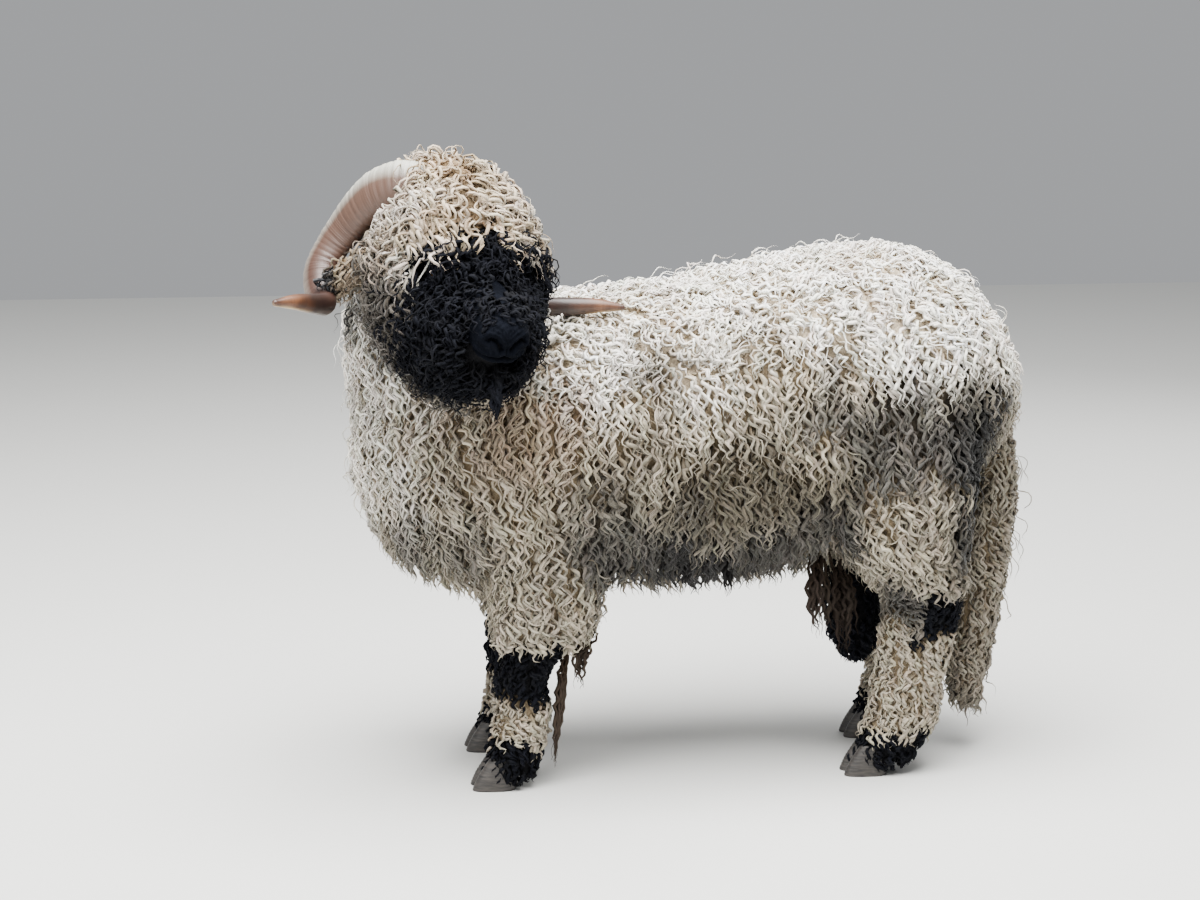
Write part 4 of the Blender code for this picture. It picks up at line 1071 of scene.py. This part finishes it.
# %% The muzzle
MUZZLE_END = (
    (0.258, -0.0175, 0.0425, 0.0300, 0.0420),
    (0.275, -0.0200, 0.0390, 0.0270, 0.0385),
    (0.2860, -0.0215, 0.0310, 0.0215, 0.0310),
    (0.2905, -0.0225, 0.0180, 0.0130, 0.0190),
    (0.2915, -0.0230, 0.0035, 0.0030, 0.0040),
)
MUZZLE_LIFT = 0.007
# A nostril's slit, outwards and up in the head: it starts low beside the groove and curls out.
NOSTRIL = ((0.0085, -0.0300), (0.0120, -0.0235), (0.0185, -0.0175), (0.0260, -0.0150), (0.0290, -0.0190))


def bell(distance, width):
    """exp(-(d / width)^2), which is 1 on the line and fades beside it."""
    return np.exp(-((distance / width) ** 2))


def line_distance(points, line):
    """The shortest distance from points to a run of short straight pieces."""
    line = np.asarray(line, float)
    start, run = line[:-1], np.diff(line, axis=0)
    offset = points[..., None, :] - start
    t = np.clip(np.sum(offset * run, -1) / np.sum(run * run, -1), 0, 1)
    return np.linalg.norm(offset - t[..., None] * run, axis=-1).min(-1)


muzzle_form = head_form(SKULL[:6] + MUZZLE_END, 0.0)
muzzle_form.rows[5:, :3] += HEAD_UP * MUZZLE_LIFT
MUZZLE_ROWS, MUZZLE_COLUMNS = 190, 152
share, angle = share_and_angle(np.linspace(0.36, 1, MUZZLE_ROWS), MUZZLE_COLUMNS)
muzzle_points = muzzle_form.surface(share, angle)
down_grid = np.gradient(muzzle_points, axis=0)
round_grid = np.roll(muzzle_points, -1, 1) - np.roll(muzzle_points, 1, 1)
muzzle_out = unit(np.cross(down_grid, round_grid))
muzzle_out *= np.sign(dot(muzzle_out, muzzle_points - muzzle_points.mean(1, keepdims=True) + FACE * 0.01))
left, ahead, lift = head_coordinates(muzzle_points)
lift = lift - MUZZLE_LIFT
print("the muzzle's grid has", left.size, "points")

# %% [markdown]
# Each line of the push below is one feature. A negative bell presses a slit in, and a wider positive
# bell beside it raises the slit's lips.

# %% Nostrils, mouth and folds
seen_from_front = np.stack([np.abs(left), lift], -1)
front = soft_step(0.258, 0.272, ahead)
reach = line_distance(seen_from_front, NOSTRIL)
push = front * (-0.0085 * bell(reach, 0.0030) + 0.0022 * bell(reach - 0.0075, 0.0032))
mouth_height = -0.0455 + 0.10 * (0.290 - ahead) + 0.0030 * bell(left, 0.006)
from_mouth = lift - mouth_height
lips = soft_step(0.205, 0.225, ahead)
push += lips * (-0.0050 * bell(from_mouth, 0.0016) + 0.0022 * bell(np.abs(from_mouth) - 0.0060, 0.0036))
groove = soft_step(-0.046, -0.042, lift) * soft_step(-0.022, -0.028, lift)
push += -0.0032 * front * bell(left, 0.0013) * groove
folds = np.sin(ahead * 2 * np.pi / 0.0085 + 2.0 * np.sin(np.abs(left) * 80)) * bell(ahead - 0.238, 0.030)
push += 0.0007 * folds * bell(left, 0.030) * soft_step(-0.02, -0.005, lift)
wings = np.sin(reach * 2 * np.pi / 0.0060) * bell(reach - 0.014, 0.007)
push += 0.0004 * wings * front
push += 0.0007 * mottle(muzzle_points.reshape(-1, 3), 0.010, 8).reshape(left.shape)
muzzle_points = muzzle_points + muzzle_out * push[..., None]
tip = np.broadcast_to(muzzle_points[-1].mean(0), muzzle_points[-1].shape)
muzzle_points = np.concatenate([muzzle_points, [tip]])
muzzle = make_mesh("muzzle", muzzle_points.reshape(-1, 3), grid_corners(MUZZLE_ROWS + 1, MUZZLE_COLUMNS))
print("the muzzle has", len(muzzle.data.polygons), "quads")


# %% [markdown]
# A grid that is wrapped round a body can come out inside out. Blender can turn the faces of a closed
# mesh outwards itself, once the points that lie on one another are merged.

# %% Faces outwards
def face_outwards(made):
    """Turns a closed mesh's faces to look out of it, after its doubled points are merged."""
    work = bmesh.new()
    work.from_mesh(made.data)
    bmesh.ops.remove_doubles(work, verts=work.verts, dist=1e-6)
    bmesh.ops.recalc_face_normals(work, faces=work.faces)
    work.to_mesh(made.data)
    work.free()
    made.data.polygons.foreach_set("use_smooth", np.ones(len(made.data.polygons), bool))
    return made


face_outwards(muzzle)

# %% [markdown]
# The eyes are deep under the curls. A sheep's eye is amber with a dark slot of a pupil that lies
# level. The ball is a grid of angles from the gaze, so that iris and pupil can be worked out from
# those angles, and two lids lie over it as thin shells with a slot between them.

# %% Eyes
BALL_ROWS, BALL_COLUMNS = 60, 64


def on_ball(side, away, turn, radius):
    """centre + r (cos away * gaze + sin away * (cos turn * across + sin turn * up))."""
    centre, gaze, across, up = eye_frame(side)
    away, turn, radius = (np.asarray(value, float)[..., None] for value in (away, turn, radius))
    aside = np.cos(turn) * across + np.sin(turn) * up
    return centre + radius * (np.cos(away) * gaze + np.sin(away) * aside)


def eyeball(side, name):
    """A ball with a raised cornea, and the angles from the gaze kept as a UV map."""
    away, turn = share_and_angle(np.linspace(0, np.pi, BALL_ROWS), BALL_COLUMNS)
    radius = EYE_RADIUS * (1 + 0.05 * bell(away, 0.55) - 0.05)
    places = on_ball(side, away, turn, radius).reshape(-1, 3)
    made = make_mesh(name, places, grid_corners(BALL_ROWS, BALL_COLUMNS))
    flat = np.stack([away * np.cos(turn), away * np.sin(turn)], -1).reshape(-1, 2)
    corners = np.empty(len(made.data.loops), np.int32)
    made.data.loops.foreach_get("vertex_index", corners)
    made.data.uv_layers.new(name="gaze").data.foreach_set("uv", flat[corners].astype(np.float32).ravel())
    return face_outwards(made)


def eyelid(side, upper, name):
    """A shell 2.4 mm thick or more, from the slit's oval edge back to 1.45 radians from the gaze."""
    turn, back = np.meshgrid(np.linspace(0, np.pi, 48), np.linspace(0, 1, 14), indexing="ij")
    turn = turn * (1 if upper else -1)
    edge = np.hypot(0.80 * np.cos(turn), (0.50 if upper else 0.42) * np.sin(turn))
    away = edge + (1.45 - edge) * back
    outer = on_ball(side, away, turn, EYE_RADIUS + 0.0026 + 0.0012 * bell(back - 0.12, 0.12))
    inner = on_ball(side, away, turn, np.full(away.shape, EYE_RADIUS + 0.0002))
    shell = np.concatenate([outer, inner[:, ::-1]], axis=1)
    points = np.concatenate([shell, shell[:, :1]], axis=1)
    return face_outwards(make_mesh(name, points.reshape(-1, 3), grid_corners(48, 29, closed=False)))


eyes = [eyeball(side, "eyeball_" + word) for side, word in ((1, "left"), (-1, "right"))]
lids = [eyelid(side, upper, f"lid_{word}_{level}") for side, word in ((1, "left"), (-1, "right"))
        for upper, level in ((True, "upper"), (False, "lower"))]
print(len(eyes), "eyeballs and", len(lids), "lids")

# %% [markdown]
# A horn grows a little each season, and every spell leaves a ring. So the tube's radius rises and
# falls along it, sharply near the root and hardly at all near the tip, and the rings slant a little
# round the horn.

# %% Horns
HORN_ROWS, HORN_COLUMNS, HORN_RIDGES = 340, 44, 40


def horn(side, name):
    """middle(s) + (broad * cos a * inward + thick * sin a * flat) * (1 + ridge(s, a))."""
    share, angle = share_and_angle(np.linspace(0, 1, HORN_ROWS), HORN_COLUMNS)
    middle, broad, thick = horn_line(side, share[:, 0])
    run = unit(np.gradient(middle, axis=0))
    heart = in_head(side * HORN_HEART[0], HORN_HEART[1], HORN_HEART[2])
    inward = heart - middle
    inward = unit(inward - run * dot(inward, run))
    flat = np.cross(run, inward)
    wave = share * HORN_RIDGES + 0.10 * np.sin(angle) + 0.30 * np.sin(share * 9) + 0.22 * np.sin(share * 37)
    ridge = (np.abs(np.sin(np.pi * wave)) ** 0.8 - 0.5) * (0.7 + 0.3 * np.sin(share * 83 + 1.0))
    fine = np.sin(2 * np.pi * wave * 3.3 + 1.5 * np.sin(angle * 2))
    fine = fine + 0.7 * np.sin(2 * np.pi * wave * 7.1 + angle)
    fade = soft_step(0.80, 0.50, share)
    swell = 1 + fade * (0.042 * ridge + 0.009 * fine) + 0.014 * np.sin(angle * 3 + share * 17)
    keel = 1 + 0.08 * bell(angle - np.pi, 0.5) * fade
    points = middle[:, None] + (broad[:, None] * np.cos(angle) * swell * keel)[..., None] * inward[:, None]
    points = points + (thick[:, None] * np.sin(angle) * swell)[..., None] * flat[:, None]
    points = drawn_together(points, run[-1] * 0.0035)
    made = make_mesh(name, points.reshape(-1, 3), grid_corners(HORN_ROWS + 2, HORN_COLUMNS))
    along = np.concatenate([[0.0], share[:, 0], [1.0]])
    grown = np.repeat(along, HORN_COLUMNS).astype(np.float32)
    made.data.attributes.new("grown", "FLOAT", "POINT").data.foreach_set("value", grown)
    inner = np.tile(0.5 + 0.5 * np.cos(angle[0]), HORN_ROWS + 2).astype(np.float32)
    made.data.attributes.new("inner", "FLOAT", "POINT").data.foreach_set("value", inner)
    return face_outwards(made)


horns = [horn(side, "horn_curl_" + word) for side, word in ((1, "left"), (-1, "right"))]
print(len(horns), "horns of", len(horns[0].data.polygons), "quads")

# %% [markdown]
# A sheep stands on two claws to a foot. Each is a wedge of dark horn with a flat sole, a rounded
# front and fine growth lines that run round it level with the ground.

# %% Claws
CLAW_ROWS = (
    (-0.0220, 0.0000, 0.0150, 0.042, 0.026),
    (-0.0180, 0.0220, 0.0145, 0.036, 0.027),
    (-0.0100, 0.0480, 0.0130, 0.027, 0.024),
)
CLAW_RINGS, CLAW_COLUMNS = 44, 36


def claw(leg, inner, name):
    """The claw's three rows, read smoothly, with growth lines of a third of a millimetre."""
    side = -1 if leg.endswith("left") else 1
    foot = (FORE_LEG if leg.startswith("fore") else HIND_LEG)[-1]
    middle = np.array([foot[0] + STRIDES[leg], side * foot[1] + (0.0165 if inner else -0.0165), 0.0])
    rows = [(middle[0] + dx, middle[1], z, w, f, r) for dx, z, w, f, r in CLAW_ROWS]
    form = Form(rows, up=FORWARD, fullness=2.3)
    share, angle = share_and_angle(np.linspace(0, 1, CLAW_RINGS), CLAW_COLUMNS)
    points = form.surface(share, angle)
    centre = points.mean(1, keepdims=True)
    lines = 1 + 0.010 * np.sin(share * 60) * soft_step(0.0, 0.1, share) - 0.05 * soft_step(0.05, 0.0, share)
    points = centre + (points - centre) * lines[..., None]
    corners = grid_corners(CLAW_RINGS + 2, CLAW_COLUMNS)
    return face_outwards(make_mesh(name, drawn_together(points).reshape(-1, 3), corners))


claws = {}
for leg in STRIDES:
    for inner, word in ((False, "outer"), (True, "inner")):
        claws[f"{leg}_claw_{word}"] = claw(leg, inner, f"{leg}_{word}_hoof")
print(len(claws), "claws")


# %% [markdown]
# Materials in Blender are small networks of nodes. A few helpers keep the networks short: one makes
# an empty material with its Principled shader, and one adds a node and joins its inputs.

# %% Helpers for materials
class Finish:
    """A material under construction: add() makes a node, sets its values and joins links by name."""

    def __init__(self, name, **values):
        self.material = bpy.data.materials.new(name)
        self.material.use_nodes = True
        self.nodes = self.material.node_tree.nodes
        self.links = self.material.node_tree.links
        self.shader = self.nodes["Principled BSDF"]
        for key, value in values.items():
            self.shader.inputs[key.replace("_", " ").capitalize().title()].default_value = value

    def add(self, kind, settings=None, **inputs):
        node = self.nodes.new("ShaderNode" + kind)
        for key, value in (settings or {}).items():
            setattr(node, key, value)
        for key, value in inputs.items():
            socket = node.inputs[int(key[1:])] if key[0] == "i" and key[1:].isdigit() else node.inputs[key]
            self.feed(socket, value)
        return node

    def feed(self, socket, value):
        if isinstance(value, bpy.types.NodeSocket):
            self.links.new(value, socket)
        else:
            socket.default_value = value

    def bump(self, height, strength, distance):
        node = self.add("Bump", Height=height, Strength=strength, Distance=distance)
        self.links.new(node.outputs[0], self.shader.inputs["Normal"])

    def multiply(self, colour, other):
        """The product of two colours."""
        settings = {"data_type": "RGBA", "blend_type": "MULTIPLY"}
        return self.add("Mix", settings, i0=1.0, i6=colour, i7=other).outputs[2]

    def paint(self, colour):
        self.links.new(colour, self.shader.inputs["Base Color"])

    def ramp(self, fac, stops):
        node = self.add("ValToRGB", Fac=fac)
        while len(node.color_ramp.elements) < len(stops):
            node.color_ramp.elements.new(0.5)
        for element, (position, colour) in zip(node.color_ramp.elements, stops):
            element.position = position
            element.color = (*colour, 1) if len(colour) == 3 else colour
        return node.outputs[0]


# %% [markdown]
# Wool scatters light at its edges, which Sheen gives. The colour comes from the markings that are
# kept on the points. Fine stripes that run along each lock, from a noise stretched over the strand's
# own map, stand for single fibres in colour and bump.

# %% Wool
def wool_finish(name, sheen, shine):
    made = Finish(name, Roughness=0.85)
    made.shader.inputs["Specular IOR Level"].default_value = shine
    made.shader.inputs["Sheen Weight"].default_value = sheen
    made.shader.inputs["Sheen Roughness"].default_value = 0.5
    tone = made.add("Attribute", {"attribute_name": "tone"}).outputs["Color"]
    strand = made.add("UVMap", {"uv_map": "strand"}).outputs[0]
    stretched = made.add("Mapping", Vector=strand, Scale=(9.0, 1.6, 1.0)).outputs[0]
    fibres = made.add("TexNoise", Vector=stretched, Scale=3.0, Detail=3.0).outputs["Fac"]
    grey = made.ramp(fibres, ((0.30, (0.80, 0.80, 0.80)), (0.70, (1.08, 1.08, 1.08))))
    made.paint(made.multiply(tone, grey))
    made.bump(fibres, 0.6, 0.0006)
    return made.material


def felt_finish(name):
    """The skin between the locks: matted wool, from noise on the object's own coordinates."""
    made = Finish(name, Roughness=0.95)
    made.shader.inputs["Specular IOR Level"].default_value = 0.15
    tone = made.add("Attribute", {"attribute_name": "tone"}).outputs["Color"]
    place = made.add("TexCoord").outputs["Object"]
    tangle = made.add("TexNoise", Vector=place, Scale=260.0, Detail=6.0).outputs["Fac"]
    grey = made.ramp(tangle, ((0.32, (0.55, 0.55, 0.55)), (0.68, (1.15, 1.15, 1.15))))
    made.paint(made.multiply(tone, grey))
    made.bump(tangle, 0.8, 0.002)
    return made.material


# %% [markdown]
# The muzzle's hair is short and lies flat, so it is mostly bump: a noise that is stretched back from
# the nose. It is black, lighter and a little browner in chance patches.

# %% Muzzle, eyes, horn and claws
def muzzle_finish():
    made = Finish("short black hair", Roughness=0.85)
    made.shader.inputs["Specular IOR Level"].default_value = 0.03
    place = made.add("TexCoord").outputs["Object"]
    turn = Vector(FACE).rotation_difference(Vector((0, 0, 1))).to_euler()
    lain = made.add("Mapping", Vector=place, Rotation=tuple(turn), Scale=(1.0, 1.0, 0.22)).outputs[0]
    hairs = made.add("TexNoise", Vector=lain, Scale=900.0, Detail=4.0).outputs["Fac"]
    patches = made.add("TexNoise", Vector=place, Scale=60.0, Detail=3.0).outputs["Fac"]
    colour = made.ramp(hairs, ((0.30, (0.0012, 0.0016, 0.0032)), (0.75, (0.0042, 0.0052, 0.0084))))
    worn = made.ramp(patches, ((0.45, (0.75, 0.75, 0.75)), (0.70, (1.3, 1.25, 1.2))))
    made.paint(made.multiply(colour, worn))
    made.bump(hairs, 0.7, 0.0009)
    return made.material


def eye_finish():
    """Amber iris out to 0.62 of the ball's angle, with a level slot of a pupil."""
    made = Finish("amber eye", Roughness=0.06)
    made.shader.inputs["Coat Weight"].default_value = 0.6
    made.shader.inputs["Coat Roughness"].default_value = 0.03
    gaze = made.add("UVMap", {"uv_map": "gaze"}).outputs[0]
    apart = made.add("SeparateXYZ", Vector=gaze)
    wide = made.add("Math", {"operation": "MULTIPLY"}, i0=apart.outputs[0], i1=2.2).outputs[0]
    tall = made.add("Math", {"operation": "MULTIPLY"}, i0=apart.outputs[1], i1=5.5).outputs[0]
    slot = made.add("CombineXYZ", X=wide, Y=tall).outputs[0]
    pupil = made.add("VectorMath", {"operation": "LENGTH"}, i0=slot).outputs["Value"]
    whole = made.add("VectorMath", {"operation": "LENGTH"}, i0=gaze).outputs["Value"]
    flecks = made.add("TexNoise", Vector=gaze, Scale=14.0, Detail=4.0).outputs["Fac"]
    amber = made.ramp(flecks, ((0.3, (0.16, 0.07, 0.02)), (0.7, (0.42, 0.22, 0.06))))
    edge = ((0.0, (1, 1, 1)), (0.58, (1, 1, 1)), (0.66, (0.03, 0.02, 0.02)), (1.0, (0.05, 0.03, 0.03)))
    rim = made.ramp(whole, edge)
    dark = made.ramp(pupil, ((0.80, (0.01, 0.01, 0.012)), (0.95, (1, 1, 1))))
    made.paint(made.multiply(made.multiply(amber, rim), dark))
    return made.material


def horn_finish():
    """Grey at the root, brown along and inside the curl, then nearly black, and ochre at the tip."""
    made = Finish("ringed horn", Roughness=0.48)
    made.shader.inputs["Coat Weight"].default_value = 0.12
    made.shader.inputs["Coat Roughness"].default_value = 0.35
    grown = made.add("Attribute", {"attribute_name": "grown"}).outputs["Fac"]
    place = made.add("TexCoord").outputs["Object"]
    cloud = made.add("TexNoise", Vector=place, Scale=38.0, Detail=4.0).outputs["Fac"]
    drift = made.add("Math", {"operation": "MULTIPLY_ADD"}, i0=cloud, i1=0.16, i2=grown).outputs[0]
    moved = made.add("Math", {"operation": "SUBTRACT"}, i0=drift, i1=0.08).outputs[0]
    stops = (
        (0.00, (0.220, 0.218, 0.198)),
        (0.35, (0.215, 0.210, 0.190)),
        (0.60, (0.140, 0.118, 0.104)),
        (0.78, (0.068, 0.045, 0.037)),
        (0.85, (0.036, 0.023, 0.018)),
        (0.895, (0.15, 0.098, 0.050)),
        (0.94, (0.34, 0.245, 0.135)),
        (1.00, (0.110, 0.068, 0.042)),
    )
    colour = made.ramp(moved, stops)
    inner = made.add("Attribute", {"attribute_name": "inner"}).outputs["Fac"]
    across = (
        (0.00, (2.0, 2.05, 2.0)),
        (0.12, (1.35, 1.38, 1.36)),
        (0.26, (0.84, 0.76, 0.72)),
        (0.38, (0.38, 0.21, 0.16)),
    )
    worn = made.ramp(inner, across)
    colour = made.multiply(colour, worn)
    bands = made.add("Math", {"operation": "MULTIPLY"}, i0=grown, i1=150.0).outputs[0]
    ring = made.add("CombineXYZ", X=bands, Y=0.0, Z=0.0).outputs[0]
    shade = made.add("TexNoise", Vector=ring, Scale=1.4, Detail=3.0).outputs["Fac"]
    grey = made.ramp(shade, ((0.30, (0.74, 0.71, 0.68)), (0.70, (1.16, 1.15, 1.13))))
    made.paint(made.multiply(colour, grey))
    grain = made.add("TexNoise", Vector=place, Scale=700.0, Detail=3.0).outputs["Fac"]
    made.bump(grain, 0.35, 0.0006)
    return made.material


def claw_finish():
    made = Finish("dark claw horn", Roughness=0.55)
    place = made.add("TexCoord").outputs["Object"]
    layers = made.add("Mapping", Vector=place, Scale=(0.25, 0.25, 1.6)).outputs[0]
    growth = made.add("TexNoise", Vector=layers, Scale=240.0, Detail=4.0).outputs["Fac"]
    colour = made.ramp(growth, ((0.3, (0.010, 0.009, 0.009)), (0.7, (0.048, 0.041, 0.035))))
    made.paint(colour)
    made.bump(growth, 0.4, 0.0008)
    return made.material


wool = wool_finish("curled wool", sheen=0.10, shine=0.25)
black_wool = wool_finish("curled black wool", sheen=0.0, shine=0.12)
felt, short_hair = felt_finish("felted wool"), muzzle_finish()
amber_eye, ringed_horn, claw_horn = eye_finish(), horn_finish(), claw_finish()
print("the last material made is", claw_horn.name)

# %% [markdown]
# Each piece now gets its material and rides on the model's one body, and the solids that it stands
# for are hidden.

# %% Joining the pieces to the frame
FLESH = [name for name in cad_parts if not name.startswith(("horn", "eye")) and "claw" not in name]


def dress(made, material, slot, *nodes):
    """Gives a piece its material and its body, and hides the solids it stands for; slot is not used."""
    made.data.materials.clear()
    made.data.materials.append(material)
    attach(made, "root")
    if nodes:
        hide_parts(*nodes)


dress(skin, felt, "fleece", *FLESH)
for piece in coat_pieces:
    dark = piece.name.startswith(("black", "face", "chin", "knee", "thigh", "belly_lock"))
    dress(piece, black_wool if dark else wool, "black_wool" if dark else "fleece")
dress(muzzle, short_hair, "black_wool")
for piece in lids:
    dress(piece, short_hair, "black_wool")
for piece, node in zip(eyes, ("eye_left", "eye_right")):
    dress(piece, amber_eye, "eye", node)
for piece, node in zip(horns, ("horn_left", "horn_right")):
    dress(piece, ringed_horn, "horn", node)
for node, piece in claws.items():
    dress(piece, claw_horn, "hoof", node)
print(len(FLESH), "solids stand behind the skin")

# %% [markdown]
# The photograph was taken on an overcast day, with soft light from the whole sky. A large lamp above,
# a gentler one beside the camera and a bright world give the same soft shade on a plain pale floor.

# %% Floor, light and camera
FLOOR_SIZE = 14.0
floor = make_mesh(
    "floor",
    np.array([[-1, -1, 0], [1, -1, 0], [1, 1, 0], [-1, 1, 0]]) * FLOOR_SIZE / 2,
    np.array([[0, 1, 2, 3]]),
)
pale = Finish("pale floor", Roughness=0.9)
pale.shader.inputs["Base Color"].default_value = (0.62, 0.62, 0.60, 1)
floor.data.materials.append(pale.material)


def lamp(name, place, target, size, power, colour=(1, 1, 1)):
    """A square area light that looks at a target."""
    light = bpy.data.lights.new(name, "AREA")
    light.size, light.energy, light.color = size, power, colour
    made = bpy.data.objects.new(name, light)
    made.location = place
    made.rotation_euler = (Vector(target) - Vector(place)).to_track_quat("-Z", "Y").to_euler()
    bpy.context.scene.collection.objects.link(made)
    return made


lamp("sky", (-0.3, -0.9, 3.8), (0, 0, 0.5), 3.4, 900, (1.0, 0.995, 0.98))
lamp("front", (-3.0, -2.8, 2.0), (0, 0, 0.5), 2.2, 85)
lamp("back", (2.4, 2.6, 2.4), (0, 0, 0.6), 2.2, 60)
world = bpy.data.worlds.new("pale sky")
world.use_nodes = True
world.node_tree.nodes["Background"].inputs["Color"].default_value = (0.92, 0.94, 0.97, 1)
world.node_tree.nodes["Background"].inputs["Strength"].default_value = 0.44
bpy.context.scene.world = world

camera = bpy.data.objects.new("camera", bpy.data.cameras.new("camera"))
bpy.context.scene.collection.objects.link(camera)
camera.location = (-0.6571, -4.0035, 1.2)
camera.rotation_euler = (math.radians(80.43), 0.0, math.radians(-8.0))
camera.data.lens = 80.1
camera.data.sensor_width = 36.0
bpy.context.scene.camera = camera
print("the camera stands at", tuple(round(value, 2) for value in camera.location))
